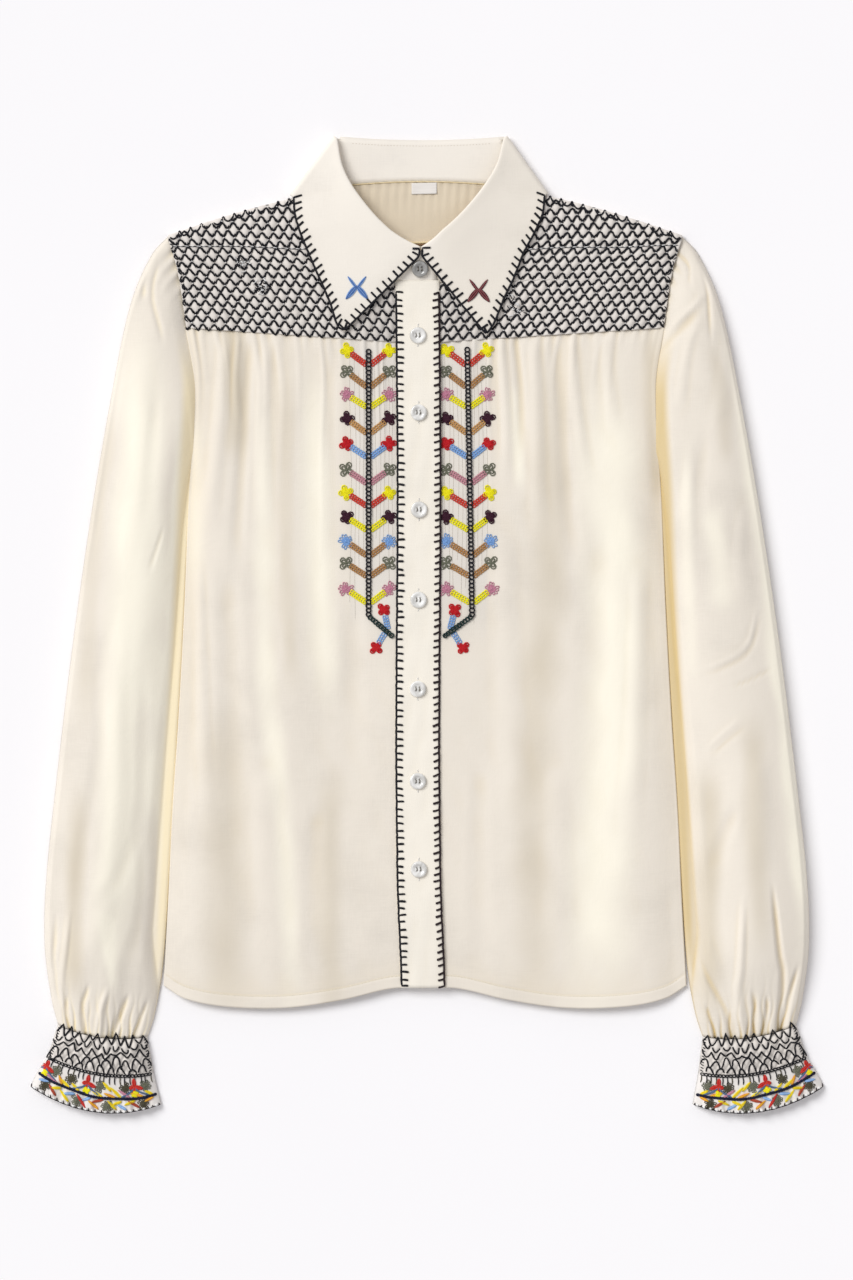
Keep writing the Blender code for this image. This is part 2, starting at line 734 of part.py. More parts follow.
def sleeve(side):
    folds = RIGHT_SLEEVE_FOLDS if side < 0 else LEFT_SLEEVE_FOLDS

    def soft_folds(along, across):
        return sleeve_folds(folds, along, across)

    def gathered(along, across):
        height = sleeve_folds(folds, along, across)
        for gather in CUFF_GATHERS:
            fade = math.exp(-(((1 - along) / gather.length) ** 2))
            height += gather.height * fade * ridge(across - gather.at, 0.045)
        for gather in HEAD_GATHERS:
            fade = math.exp(-((along / gather.length) ** 2))
            height += gather.height * fade * ridge(across - gather.at, 0.04)
        return height

    def columns(along):
        return 40 if along < 0.11 else 46 if along > 0.76 else 26

    head = [0.0, 0.015, 0.04, 0.07, 0.10]
    middle = [0.14, 0.19, 0.25, 0.31, 0.37, 0.43, 0.48, 0.52, 0.56, 0.60, 0.64, 0.68, 0.72, 0.76]
    end = [0.80, 0.84, 0.875, 0.905, 0.93, 0.95, 0.97, 0.985, 1.0]
    inner = [0.0, 0.05, 0.12, 0.22, 0.32, 0.42, 0.50, 0.56, 0.62, 0.70, 0.78, 0.86, 0.93, 1.0]
    return tube(side, SLEEVE_ROWS, head + middle + end, columns, gathered, inner, soft_folds)


def cuff(side):
    """A smocked band that flares into a ruffle, open at its end."""
    smocked = [CUFF_SMOCK_END * t for t in shares(CUFF_SMOCK_ROWS)]
    flared = [CUFF_SMOCK_END + (1 - CUFF_SMOCK_END) * t for t in shares(5)][1:]

    def raised(along, across):
        if along <= CUFF_SMOCK_END + 1e-6:
            row = round(along / CUFF_SMOCK_END * CUFF_SMOCK_ROWS)
            column = round(across * CUFF_HALF_DIAMONDS)
            return DIAMOND_PUFF if (row + column) % 2 == 1 else 0.0
        flare = (along - CUFF_SMOCK_END) / (1 - CUFF_SMOCK_END)
        wave = 0.5 + 0.5 * math.cos(2 * math.pi * RUFFLE_WAVES * across + side)
        return RUFFLE_WAVE_HEIGHT * flare * wave

    def columns(along):
        return CUFF_HALF_DIAMONDS if along <= CUFF_SMOCK_END + 1e-6 else 36

    rows = smocked + flared
    return tube(side, CUFF_ROWS, rows, columns, raised, shares(5), lambda a, b: 0.0, CUFF_SMOCK_ROWS)


# Collar


def collar_value(column, at):
    return along_table(COLLAR_ROWS, "at", column, at)


def roll_point(side, at):
    return NECK_MIDDLE_X + side * collar_value("roll_out", at), collar_value("roll_y", at)


def leaf_row(side, at):
    """The fall from its roll line out to its edge, lying over the yoke."""
    name = "right" if side < 0 else "left"
    start = Vector(roll_point(side, at))
    edge_x = NECK_MIDDLE_X + side * collar_value(name + "_out", at)
    edge = Vector((edge_x, collar_value(name + "_y", at)))
    row = []
    for share in FALL_SHARES:
        x, y = start.lerp(edge, share)
        rest = body_top(x, y) + DIAMOND_PUFF + 0.4 + COLLAR_CLOTH / 2
        fall = (1 - share) ** 1.6
        z = rest + (collar_value("roll_z", at) - rest) * fall
        z += COLLAR_TIP_LIFT * (1 - at) ** 3 * share**2
        row.append(Vector((x, y, z)))
    return row


def folded_rows(row, outward, out, low_z, angles):
    """Rows that carry a sheet round a fold, from its upper layer to its lower one."""
    rows = []
    for angle in angles:
        turn = math.radians(angle)
        points = []
        for point in row:
            middle, rise = (point.z + low_z) / 2, (point.z - low_z) / 2
            shift = outward * (out * math.cos(turn))
            points.append(Vector((point.x + shift.x, point.y + shift.y, middle + rise * math.sin(turn))))
        rows.append(points)
    return rows


def back_roll_y(out):
    return STAND_TOP_BACK_Y + 2.6 * (out / 60) ** 2


def fall_back_row(out):
    """The fall at the back of the neck, lying on the surface under the stand and the back."""
    top = Vector((NECK_MIDDLE_X + out, back_roll_y(out) + 0.5, COLLAR_CLOTH / 2))
    low = Vector((NECK_MIDDLE_X + out * 1.5, COLLAR_BACK_Y + 4 * (out / 60) ** 2, COLLAR_CLOTH / 2))
    return [top.lerp(low, share) for share in FALL_SHARES]


def collar():
    halves = []
    for side in (-1, 1):
        rows = [leaf_row(side, at) for at in (0, 0.05, 0.14, 0.24, 0.34, 0.45, 0.56, 0.67, 0.78, 0.9, 1)]
        outward = Vector((side * 0.77, 0.63))
        rows += folded_rows(rows[-1], outward, COLLAR_FOLD_OUT, COLLAR_CLOTH / 2, (50, 15, -20, -55, -90))
        halves.append(rows)
    back = [fall_back_row(out) for out in (-52, -36, -18, 0, 18, 36, 52)]
    rows = halves[0] + back + list(reversed(halves[1]))
    return closed_sheet(*thickened(rows, COLLAR_CLOTH))


def stand_column(start, end):
    """From the neck seam up to the roll line, staying low at first."""
    row = []
    for share in (0, 0.35, 0.7, 1.0):
        point = start.lerp(end, share)
        point.z = start.z + (end.z - start.z) * share**1.3
        row.append(point)
    return row


def lap_lift(side, at):
    """The wearer's right end laps over the left one at the throat."""
    near = ease(1 - at / 0.3)
    return STAND_LAP * near if side < 0 else 0.0


def stand_row(side, at):
    y = STAND_SEAM_Y + 0.4 + (NECK_SIDE_Y + 1.2 - STAND_SEAM_Y - 0.4) * at
    slope = (neck_out(y + 1) - neck_out(y - 1)) / 2
    inward = Vector((-side, slope)).normalized() * STAND_SEAM_INSET
    x = NECK_MIDDLE_X + side * neck_out(y) + inward.x
    y += inward.y * ease(at / 0.1)
    start = Vector((x, y, body_top(x, y) - CLOTH / 2 + lap_lift(side, at)))
    out = collar_value("roll_out", at) - 0.4
    drop = STAND_BELOW_ROLL + STAND_LAP * ease(1 - at / 0.3)
    z = collar_value("roll_z", at) - drop + lap_lift(side, at)
    end = Vector((NECK_MIDDLE_X + side * out, collar_value("roll_y", at) - 1.2, z))
    return stand_column(start, end)


def stand_lap_end(side):
    """The free end of the stand at the throat."""
    seam_reach, top_reach = STAND_LAP_REACH if side < 0 else STAND_UNDERLAP_REACH
    points = []
    for point in stand_row(side, 0):
        share = (point.y - STAND_SEAM_Y) / (COLLAR_ROWS[0].roll_y - STAND_SEAM_Y)
        x = placket_x(STAND_SEAM_Y) + seam_reach + (top_reach - seam_reach) * clamp(share)
        points.append(Vector((x, point.y, point.z)))
    return points


def stand_back_row(out):
    seam_y = BACK_NECK_Y - 5.0 * (out / 74) ** 2 + 0.5
    start = Vector((NECK_MIDDLE_X + out, seam_y, BACK_STAND_Z))
    end = Vector((NECK_MIDDLE_X + out * 0.82, back_roll_y(out * 0.82), BACK_STAND_Z))
    return stand_column(start, end)


def collar_stand():
    halves = []
    for side in (-1, 1):
        rows = [stand_lap_end(side)] + [stand_row(side, at) for at in (0, 0.06, 0.13, 0.25, 0.4, 0.55, 0.7, 0.85, 1)]
        outward = Vector((side * 0.95, 0.3))
        angles = (35, -20, -75)
        turned = folded_rows(rows[-1], outward, STAND_FOLD_OUT, BACK_STAND_Z, angles)
        for angle, row in zip(angles, turned):
            row[0].y += 1.5 * (1 - math.sin(math.radians(angle)))
        halves.append(rows + turned)
    back = [stand_back_row(out) for out in (-68, -50, -25, 0, 25, 50, 68)]
    rows = halves[0] + back + list(reversed(halves[1]))
    return closed_sheet(*thickened(rows, CLOTH))


# Buttons and label


def button_wall():
    """A flat round button with four holes."""
    wall = Wall()
    sides = 16

    def ring(radius, z, count=sides, middle=(0, 0)):
        turn = 2 * math.pi / count
        return [
            (middle[0] + radius * math.cos(k * turn), middle[1] + radius * math.sin(k * turn), z)
            for k in range(count)
        ]

    holes = [(a * BUTTON_HOLE_OFFSET, b * BUTTON_HOLE_OFFSET) for a in (-1, 1) for b in (-1, 1)]
    rim = ring(BUTTON_RADIUS, BUTTON_HEIGHT / 2)
    middle_row = wall.row(rim)
    faces = []
    for z, radius in ((0.0, BUTTON_RADIUS - 0.5), (BUTTON_HEIGHT, BUTTON_RADIUS - 0.7)):
        loops = [ring(radius, z)] + [ring(BUTTON_HOLE_RADIUS, z, 4, hole) for hole in holes]
        rows = [wall.row(loop) for loop in loops]
        flat = [index for row in rows for index in row]
        triangles = tessellate_polygon([[Vector(point) for point in loop] for loop in loops])
        wall.faces += [tuple(flat[k] for k in triangle) for triangle in triangles]
        wall.strip(middle_row + middle_row[:1], rows[0] + rows[0][:1])
        faces.append(rows[1:])
    for low, high in zip(*faces):
        wall.strip(low + low[:1], high + high[:1])
    return wall


def label_wall():
    rows = []
    for share in shares(2):
        y = LABEL_TOP_Y - LABEL_DEPTH * share
        z = COLLAR_LIFT + CLOTH + SEAM_GAP
        rows.append([(LABEL_WIDTH * (t - 0.5), y, z) for t in shares(2)])
    above = [[(x, y, z + LABEL_CLOTH) for x, y, z in row] for row in rows]
    return closed_sheet(above, rows)


# The blouse


def build_blouse():
    for thing in list(bpy.data.objects):
        bpy.data.objects.remove(thing)
    garment = bpy.data.objects.new("garment", None)
    bpy.context.scene.collection.objects.link(garment)
    lawn = cloth_material("cream_lawn", (0.80, 0.76, 0.64), 0.85)
    smocked = cloth_material("smocked_lawn", (0.72, 0.71, 0.65), 0.85)
    trimmed = cloth_material("banded_lawn", (0.78, 0.75, 0.66), 0.82)
    tape = cloth_material("label_tape", (0.88, 0.87, 0.82), 0.6)
    shell = cloth_material("button_shell", (0.80, 0.79, 0.74), 0.22)

    walls = [
        ("back", back_panel(), lawn),
        ("placket", placket(), trimmed),
        ("button_band", button_band(), trimmed),
        ("collar_stand", collar_stand(), trimmed),
        ("collar", collar(), trimmed),
        ("label", label_wall(), tape),
    ]
    for side, name in ((-1, "right"), (1, "left")):
        walls += [
            ("front_" + name, front_panel(side), lawn),
            ("yoke_" + name, yoke(side), smocked),
            ("sleeve_" + name, sleeve(side), lawn),
            ("cuff_" + name, cuff(side), smocked),
        ]
    pieces = [make_piece(name, wall, material, garment) for name, wall, material in walls]

    rise = PLACKET_RISE + BAND_CLOTH + SEAM_GAP
    slope = stand_row(-1, 0)
    for number, y in enumerate((COLLAR_BUTTON_Y, *FRONT_BUTTON_YS), 1):
        button = make_piece("button_" + str(number), button_wall(), shell, garment)
        x = placket_x(min(y, STAND_SEAM_Y))
        place = Vector((x, y, body_top(x, y) + rise))
        if number == 1:
            low, high = slope[0], slope[2]
            share = (COLLAR_BUTTON_Y - low.y) / (high.y - low.y)
            tilt = math.atan2(high.z - low.z, high.y - low.y)
            z = low.z + (high.z - low.z) * share + CLOTH / 2 + SEAM_GAP
            place = Vector((x + COLLAR_BUTTON_ASIDE, COLLAR_BUTTON_Y, z + 0.1))
            button.rotation_euler = (tilt, 0, 0)
        button.location = place * MM

    points = [vertex.co for piece in pieces for vertex in piece.data.vertices]
    middle = [(min(p[axis] for p in points) + max(p[axis] for p in points)) / 2 for axis in (0, 1)]
    garment.location = (-middle[0], -middle[1], 0)


build_blouse()
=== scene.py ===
"""A folk blouse of cream lawn laid out flat: smocked yokes and cuffs, stitched trees by the placket.

Shapes are worked out in millimetres: x across from the middle of the body, y up from the hem, z up
from the surface. Sides are the wearer's, so "right" is at negative x. SHIFT then takes them to the
row's frame, in metres.
"""

import math
import random
from collections import namedtuple

import bpy
import numpy as np
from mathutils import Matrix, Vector
from mathutils.bvhtree import BVHTree


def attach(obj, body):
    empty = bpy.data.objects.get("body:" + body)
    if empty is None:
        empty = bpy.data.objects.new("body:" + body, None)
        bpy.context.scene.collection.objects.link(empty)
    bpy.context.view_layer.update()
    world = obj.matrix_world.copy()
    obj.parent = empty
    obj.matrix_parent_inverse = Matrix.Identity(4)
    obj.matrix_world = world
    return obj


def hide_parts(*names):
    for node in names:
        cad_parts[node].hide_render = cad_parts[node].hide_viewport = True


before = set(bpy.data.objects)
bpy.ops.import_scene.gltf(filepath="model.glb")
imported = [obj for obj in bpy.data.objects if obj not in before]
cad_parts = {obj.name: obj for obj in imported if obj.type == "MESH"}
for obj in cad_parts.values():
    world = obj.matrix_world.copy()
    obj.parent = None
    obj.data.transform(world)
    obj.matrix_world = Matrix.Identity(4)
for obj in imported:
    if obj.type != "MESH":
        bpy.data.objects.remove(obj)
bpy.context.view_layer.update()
dice = random.Random(7)

MM = 0.001
SHIFT = np.array((-1.5, -283.91, 0.0))
CLOTH = 0.45
SIDES = ((-1, "right"), (1, "left"))

# Measures of the forms that the solids have too.
YOKE_SEAM_HALF = 178.3
YOKE_SEAM_MIDDLE_Y = 496.0
YOKE_SEAM_SIDE_Y = 507.5
SHOULDER_SEAM_Y = 568.0
BODY_LOFT = 9.2
SIDE_EDGE_TOP = 3.5
ARMHOLE_EDGE_TOP = 6.6
ARMHOLE_START_Y = 385.0
ARMHOLE_RISE = 60.0
HEM_THINNING = 60.0
SIDE_ROUNDING = 30.0
SHOULDER_ROUNDING = 45.0
SHOULDER_EDGE_TOP = 6.0
BACK_YOKE_DEPTH = 28.0
PLACKET_WIDTH = 33.0
BUTTON_BAND_HALF = 13.2
STAND_SEAM_Y = 541.0
NECK_MIDDLE_X = -2.0
BACK_NECK_Y = 617.0
BACK_NECK_HALF = 74.0
BACK_NECK_DIP = 5.0
COLLAR_LIFT = 1.7
COLLAR_LIFT_START_Y = 560.0
COLLAR_LIFT_REACH = 112.0
LEFT_SLEEVE_OUT = 3.0
SLEEVE_LIP = 10.5
SLEEVE_LIP_TOP = 2.9
SLEEVE_EDGE_Z = 1.4
SLEEVE_BLEND = 0.9


def rows_of(fields, *rows):
    """A table whose rows have named fields."""
    row = namedtuple("row", fields)
    return [row(*values) for values in rows]


BODY_WIDTHS = rows_of(
    "y half",
    (-2, 195.0), (14, 194.5), (81, 191.0), (147, 188.0), (213, 183.6), (300, 179.0), (380, 176.0),
    (463, 172.0), (508, 178.5), (550, 185.0), (577, 193.0),
)
HEM_CURVE = rows_of(
    "x y",
    (0, 13.0), (25, 12.5), (62, 4.0), (105, -2.0), (150, -1.0), (180, 5.0), (196, 14.5),
)
SHOULDER_LINE = rows_of(
    "x y",
    (60, 613.0), (96, 605.5), (140, 594.0), (193, 577.0),
)
# The placket's middle line wanders a little, as it was laid.
PLACKET_LINE = rows_of(
    "x y",
    (-1.4, 13), (-2.1, 36), (-3.2, 60), (-4.3, 85), (-5.1, 139), (-5.5, 205), (-5.1, 275),
    (-4.6, 341), (-4.5, 407), (-5.0, 472), (-5.7, 541),
)
NECK_SEAM = rows_of(
    "y out",
    (541, 17.0), (552, 34.0), (567, 50.0), (590, 67.0), (600, 73.0), (612, 74.5),
)
SLEEVE_ROWS = rows_of(
    "along inner_x inner_y outer_x outer_y loft bow",
    (0.00, 175.1, 412, 193.5, 577.0, 5.4, 0.0), (0.04, 175.6, 400, 206.0, 563.0, 12.0, 0.0),
    (0.12, 176.9, 375, 221.0, 527.0, 16.0, 0.0), (0.24, 179.1, 325, 235.0, 458.0, 18.0, 0.0),
    (0.40, 182.0, 262, 250.0, 370.0, 19.0, 0.0), (0.56, 186.2, 190, 264.5, 268.0, 20.0, 0.0),
    (0.70, 190.3, 118, 276.0, 172.0, 22.0, 0.0), (0.82, 194.0, 58, 284.0, 95.0, 23.0, 0.0),
    (0.91, 197.6, 20, 285.2, 44.0, 21.0, 1.5), (0.97, 203.0, -8, 280.0, 4.0, 15.0, 3.5),
    (1.00, 208.0, -23.4, 275.3, -14.6, 10.5, 5.0),
)
CUFF_ROWS = rows_of(
    "along inner_x inner_y outer_x outer_y loft bow",
    (0.0, 208.1, -23.8, 275.4, -15.0, 10.5, 5.0), (0.25, 205.7, -37.5, 279.3, -27.0, 11.5, 5.6),
    (0.5, 203.2, -51.0, 283.6, -38.6, 11.5, 6.6), (0.75, 199.7, -66.2, 290.5, -50.0, 9.5, 10.5),
    (1.0, 197.5, -74.3, 296.2, -61.0, 8.0, 12.5),
)
COLLAR_ROWS = rows_of(
    "at roll_out roll_y roll_z right_out right_y left_out left_y",
    (0.00, 0.8, 566.6, 17.0, 58.4, 504.8, 47.8, 501.8),
    (0.14, 10.5, 572.0, 17.4, 64.0, 509.0, 53.8, 510.0),
    (0.28, 20.0, 579.5, 17.6, 70.0, 527.0, 62.0, 530.0),
    (0.42, 31.0, 590.0, 17.4, 77.5, 544.5, 69.5, 546.0),
    (0.57, 41.5, 602.5, 16.4, 85.5, 563.0, 75.9, 563.0),
    (0.71, 50.5, 615.5, 14.8, 92.3, 580.0, 83.8, 577.5),
    (0.86, 57.0, 630.0, 12.2, 96.0, 594.0, 90.0, 592.0),
    (1.00, 60.3, 648.4, 8.6, 96.8, 605.2, 91.8, 606.2),
)

# How the pieces are laid, beyond the solids' own tables.
NECK_SIDE_Y = 609.0
STAND_TOP_BACK_Y = 646.4
BACK_STAND_Z = 2.3
STAND_LAP = 1.6
COLLAR_BACK_Y = 600.0
COLLAR_FOLD_OUT = 3.0
COLLAR_TIP_LIFT = 2.0
COLLAR_REST = 2.3
COLLAR_BUTTON_Y = 551.5
FRONT_BUTTON_YS = (501.8, 444.0, 371.3, 303.8, 237.0, 168.0, 102.0)
BUTTON_RADIUS = 6.35
BUTTON_HEIGHT = 2.3
HOLE_OFFSET = 1.35
BACK_SEAM_Y = 571.5
HEM_DEPTH = 9.0
TUBE_FLOOR_Z = 0.05
SMOCK_STEP_X = 4.12
SMOCK_STEP_Y = 6.2
PUFF = 1.5
THREAD_LIFT = 0.42
CUFF_ROWS_UP = 5
SMOCK_COLUMNS = 42
SMOCK_TOP_COLUMNS = 36
POINT_ROUNDING = 0.15
TOP_ROUNDING = 0.32
UNDER_PLACKET = 12.0
MIDDLE_Y = 250.0
BACK_HALF = 180.0
# How much of a tube's height it gains in its first steep rise from the body's side.
SLEEVE_STEEP = {-1: 0.14, 1: 0.34}
CUFF_STEEP = 0.5
STEEP_RISE = 11.0
GENTLE_RISE = 56.0
CUFF_TOP_Y = -20.0
SLEEVE_TUCKS = 12
SEAM_OVERLAP = 0.9
# How often a place is worked out again from the forms at its own height.
SETTLING = 4
# Out and height, in shares, of the columns that turn a front round its side seam.
SIDE_TURN = ((0.0, 0.0), (0.5, 0.15), (0.6, 0.5), (0.2, 0.85))
# Painted shade of the fine tucks greys the cloth behind the stitched trees: how far out from the placket,
# from where to where.
TREE_GREY_OUT = 54.0
TREE_GREY_TOP = 507.0
TREE_GREY_LOW = 262.0
# The placket band is made evenly lighter by this share, through the same mark as the painted light.
BAND_TONE = 0.35
BUTTON_RINGS = (
    0.02, 0.5, 0.8, 1.1, 1.4, 1.7, 2.0, 2.3, 2.6, 2.9, 3.3, 3.8, 4.4, 5.0, 5.4, 5.8, 6.1, 6.28, 6.35,
)
LABEL_WIDTH = 19.0
LABEL_DEPTH = 8.4
LABEL_TOP_Y = 616.4
LABEL_Z = 3.3
WORLD_STRENGTH = 0.54
KEY_STRENGTH = 2.02
KEY_FROM = (-0.60, 0.46, 0.76)
WORLD_WHITE = (0.985, 0.975, 1.0)
CAMERA_PLACE = (-0.0004, -0.0102, 6.0)
FLOOR_WHITE = (0.975, 0.965, 0.972)

# Folds of the sleeves, each along a line of points, with its half width and height.
RIGHT_SLEEVE_FOLDS = rows_of(
    "points half height",
    (((227, 310), (243, 252), (243, 194), (254, 123), (260, 64), (269, 6)), 9, -0.55),
    (((224, 310), (231, 229), (231, 146), (241, 76), (260, 17), (260, -25)), 12, 0.6),
    (((209, 274), (210, 229), (212, 146), (227, 100), (250, 64), (264, 29)), 8, -0.45),
    (((215, 135), (210, 100), (212, 64), (222, 29), (228, -25)), 9, -0.6),
    (((276, 75), (277, 49), (278, 29), (274, -25)), 4, -1.2),
    (((265, 79), (269, 41), (272, 15), (271, -25)), 4, 0.9),
    (((236, 15), (242, -2), (246, -32)), 4, 1.2),
    (((250, 19), (256, -2), (253, -30)), 3.5, -1.3),
    (((221, 11), (227, -5), (238, -32)), 3.5, -1.4),
    (((206, 8), (212, -8), (220, -32)), 3, -1.2),
    (((267, 11), (268, -2), (266, -25)), 2.5, -1.0),
    (((205, 560), (210, 544), (211, 526)), 3, -1.2),
    (((209, 560), (215, 542), (216, 524)), 4, 0.8),
    (((198, 562), (204, 533), (198, 506), (196, 491)), 3, -1.0),
    (((226, 506), (235, 454), (245, 379), (254, 304)), 10, -0.9),
    (((212, 491), (212, 394), (223, 311)), 14, 0.9),
    (((195, 360), (201, 341), (207, 323)), 3, -0.5),
    (((199, 469), (205, 409), (208, 349)), 8, -0.5),
)
LEFT_SLEEVE_FOLDS = rows_of(
    "points half height",
    (((192, 580), (204, 561), (210.5, 540), (212.4, 525), (214, 490)), 2.4, -0.9),
    (((197, 578), (209, 558), (216, 536), (219, 495)), 6, 0.8),
    (((188, 564), (197, 555), (198, 538)), 2.6, -0.8),
    (((180, 500), (187, 510), (200, 522), (212, 536)), 3.5, 0.8),
    (((176, 485), (183, 497), (196, 511), (206, 524)), 5, -0.8),
    (((209, 518), (198, 497), (193, 470), (190, 440)), 6, 0.8),
    (((226, 506), (224, 469), (218, 424)), 9, 0.5),
    (((228, 499), (241, 442), (247, 397), (255, 361), (254, 334)), 5, -0.8),
    (((210, 439), (206, 379), (208, 334)), 8, -0.5),
    (((199, 431), (197, 364), (199, 289)), 8, 0.7),
    (((238, 379), (236, 334), (242, 296)), 8, 0.6),
    (((201, 250), (220, 256), (241, 270), (249, 300)), 2.6, 0.42),
    (((204, 247), (221, 252), (243, 266), (252, 298)), 3.0, -0.34),
    (((227, 238), (243, 244), (263, 254)), 2.6, -0.36),
    (((209, 189), (220, 201), (238, 216)), 2.8, 0.42),
    (((214, 186), (225, 197), (242, 211)), 3.2, -0.34),
    (((249, 199), (251, 139), (250, 94)), 13, 0.9),
    (((234, 154), (218, 109), (215, 94)), 9, -0.8),
    (((206, 184), (203, 124), (206, 79)), 10, 0.7),
    (((259, 98), (265, 42), (268, 20), (265, -25)), 4, -1.4),
    (((238, 87), (236, 31), (234, 8), (239, -30)), 5, 1.0),
    (((193, 76), (207, 31), (227, -8), (230, -30)), 4, -1.3),
    (((199, 79), (215, 35), (223, 11)), 6, 0.9),
    (((281, 34), (274, 11), (267, -22)), 3.5, -1.2),
    (((244, 15), (247, -4), (245, -30)), 3, -1.1),
    (((255, 11), (256, -4), (253, -28)), 3, -1.2),
    (((208, 4), (214, -10), (219, -32)), 3, -1.1),
)
# Broad bands of painted light and painted shade on the cloth, each along a line of points.
FRONT_PAINTED_LIGHT = rows_of(
    "points half height",
    (((94, 510), (95, 341), (88, 265), (82, 190), (80, 110), (86, -30)), 23, -0.55),
    (((128, 500), (141, 397), (142, 266), (138, 190), (130, 116), (132, -30)), 36, 1.0),
    (((168, 512), (172, 440), (177, 370)), 12, -0.5),
    (((66, 470), (72, 380)), 8, 0.8),
    (((-120, 480), (-120, 266), (-112, 190), (-105, 116), (-97, -30)), 13, 0.75),
    (((-85, 490), (-82, 397), (-80, 341), (-72, 210)), 18, 0.95),
    (((-102, 510), (-104, 341), (-98, 220)), 10, -0.5),
    (((-146, 540), (-142, 470), (-140, 400)), 13, -0.9),
    (((-152, 240), (-150, 116), (-148, -30)), 26, -0.5),
    (((-68, 190), (-72, 116), (-70, -30)), 16, -0.55),
    (((-173, 450), (-172, 310)), 10, 0.5),
)
RIGHT_SLEEVE_PAINTED_LIGHT = rows_of(
    "points half height",
    (((179, 470), (184, 400), (187, 330), (190, 240), (194, 150), (199, 60)), 8, 1.3),
    (((213, 530), (211, 440), (212, 397), (219, 341), (221, 266), (226, 191),
      (228, 116), (234, 50), (240, -5)), 27, 1.2),
    (((194, 400), (198, 300), (201, 191), (206, 90)), 17, 0.9),
    (((230, 470), (240, 397), (248, 341), (252, 266), (254, 191)), 13, -0.35),
    (((257, 170), (262, 90), (262, 50), (262, -5)), 12, -0.75),
    (((240, 75), (236, 40), (232, 5)), 9, 0.6),
)
LEFT_SLEEVE_PAINTED_LIGHT = rows_of(
    "points half height",
    (((222, 530), (233, 482), (240, 440), (249, 380), (256, 341), (264, 266),
      (272, 191), (279, 116), (285, 50), (286, 10)), 12, 1.2),
    (((211, 190), (214, 116), (212, 50), (214, -20)), 15, -0.8),
    (((244, 230), (248, 116), (253, 30)), 14, -0.55),
    (((212, 380), (220, 330), (223, 290)), 15, 0.6),
    (((196, 430), (196, 350), (200, 230)), 9, 0.45),
    (((214, 500), (222, 460), (226, 400)), 10, -0.4),
)
Gather = namedtuple("Gather", "at height half length")
HEAD_GATHERS = (
    Gather(0.77, 0.9, 0.030, 0.020),
    Gather(0.84, 1.3, 0.026, 0.028),
    Gather(0.90, 1.5, 0.026, 0.032),
    Gather(0.955, 1.2, 0.022, 0.026),
)

# The border of a cuff, in shares across and along it.
STEM_ALONG = 0.75
CUFF_FLOWERS = rows_of(
    "across along colour",
    (0.10, 0.625, "olive"), (0.27, 0.63, "moss"), (0.49, 0.63, "olive"), (0.74, 0.63, "moss"),
    (0.88, 0.62, "olive"), (0.13, 0.87, "moss"), (0.42, 0.875, "olive"), (0.66, 0.875, "olive"),
    (0.91, 0.86, "moss"),
)
CUFF_STARS = (0.19, 0.60, 0.965)
# The arches of a cuff's smocking, in half diamonds: a column's shift, half width, ends, top, and how
# sharp the top is.
CUFF_ARCHES = rows_of(
    "shift half low high power",
    (0, 1.0, 4.15, 4.95, 1.05), (0, 0.70, 4.0, 3.3, 2.2), (0, 1.0, 3.15, 2.4, 1.5),
    (0, 0.93, 0.95, 2.15, 2.3), (1, 0.80, 0.1, 1.15, 2.2),
)
CUFF_LEAVES = rows_of(
    "start end colour",
    ((0.05, 0.73), (0.10, 0.68), "yellow"), ((0.13, 0.735), (0.22, 0.685), "orange"),
    ((0.24, 0.73), (0.32, 0.66), "pink"), ((0.31, 0.735), (0.39, 0.64), "yellow"),
    ((0.36, 0.735), (0.44, 0.70), "orange"), ((0.40, 0.66), (0.46, 0.59), "yellow"),
    ((0.47, 0.735), (0.54, 0.70), "yellow"), ((0.66, 0.735), (0.72, 0.68), "yellow"),
    ((0.74, 0.735), (0.81, 0.685), "yellow"), ((0.80, 0.73), (0.84, 0.655), "orange"),
    ((0.85, 0.735), (0.93, 0.70), "pink"), ((0.05, 0.78), (0.11, 0.82), "orange"),
    ((0.17, 0.92), (0.24, 0.80), "brick"), ((0.20, 0.79), (0.27, 0.84), "yellow"),
    ((0.27, 0.93), (0.33, 0.85), "blue"), ((0.31, 0.79), (0.37, 0.84), "yellow"),
    ((0.35, 0.92), (0.41, 0.80), "yellow"), ((0.46, 0.78), (0.53, 0.83), "brick"),
    ((0.49, 0.93), (0.56, 0.84), "orange"), ((0.56, 0.78), (0.61, 0.84), "blue"),
    ((0.59, 0.94), (0.66, 0.80), "red"), ((0.69, 0.79), (0.76, 0.84), "blue"),
    ((0.72, 0.93), (0.79, 0.83), "yellow"), ((0.80, 0.79), (0.86, 0.84), "yellow"),
    ((0.82, 0.92), (0.88, 0.83), "brick"), ((0.90, 0.78), (0.96, 0.82), "blue"),
)

# The stitched trees: where the stem, its foot and the flowers lie, then the rows of branches.
TreeSpot = namedtuple("TreeSpot", "top_x top_y low_x foot near_x far_x far_lean upper_red lower_red")
TREES = {
    -1: TreeSpot(-42.3, 491.5, -42.3, (-24.4, 276.5), -27.0, -59.3, 0.8, (-30.8, 296.2), (-36.8, 267.8)),
    1: TreeSpot(31.5, 493.0, 35.2, (14.4, 276.5), 15.9, 50.0, -4.2, (22.4, 296.2), (28.4, 267.8)),
}
TREE_LOW_Y = 291.7
TREE_ROWS = rows_of(
    "flower_y fork_y flower branch",
    (490.5, 479.2, "yellow", "scarlet"), (474.7, 462.7, "olive", "brown"),
    (457.5, 447.7, "pink", "yellow"), (439.5, 428.2, "plum", "ochre"),
    (420.7, 410.2, "red", "blue"), (401.2, 390.7, "olive", "rose"),
    (384.0, 373.5, "yellow", "scarlet"), (366.0, 355.5, "plum", "yellow"),
    (347.6, 336.4, "blue", "brown"), (331.5, 321.0, "olive", "brown"),
    (312.0, 301.1, "pink", "yellow"),
)

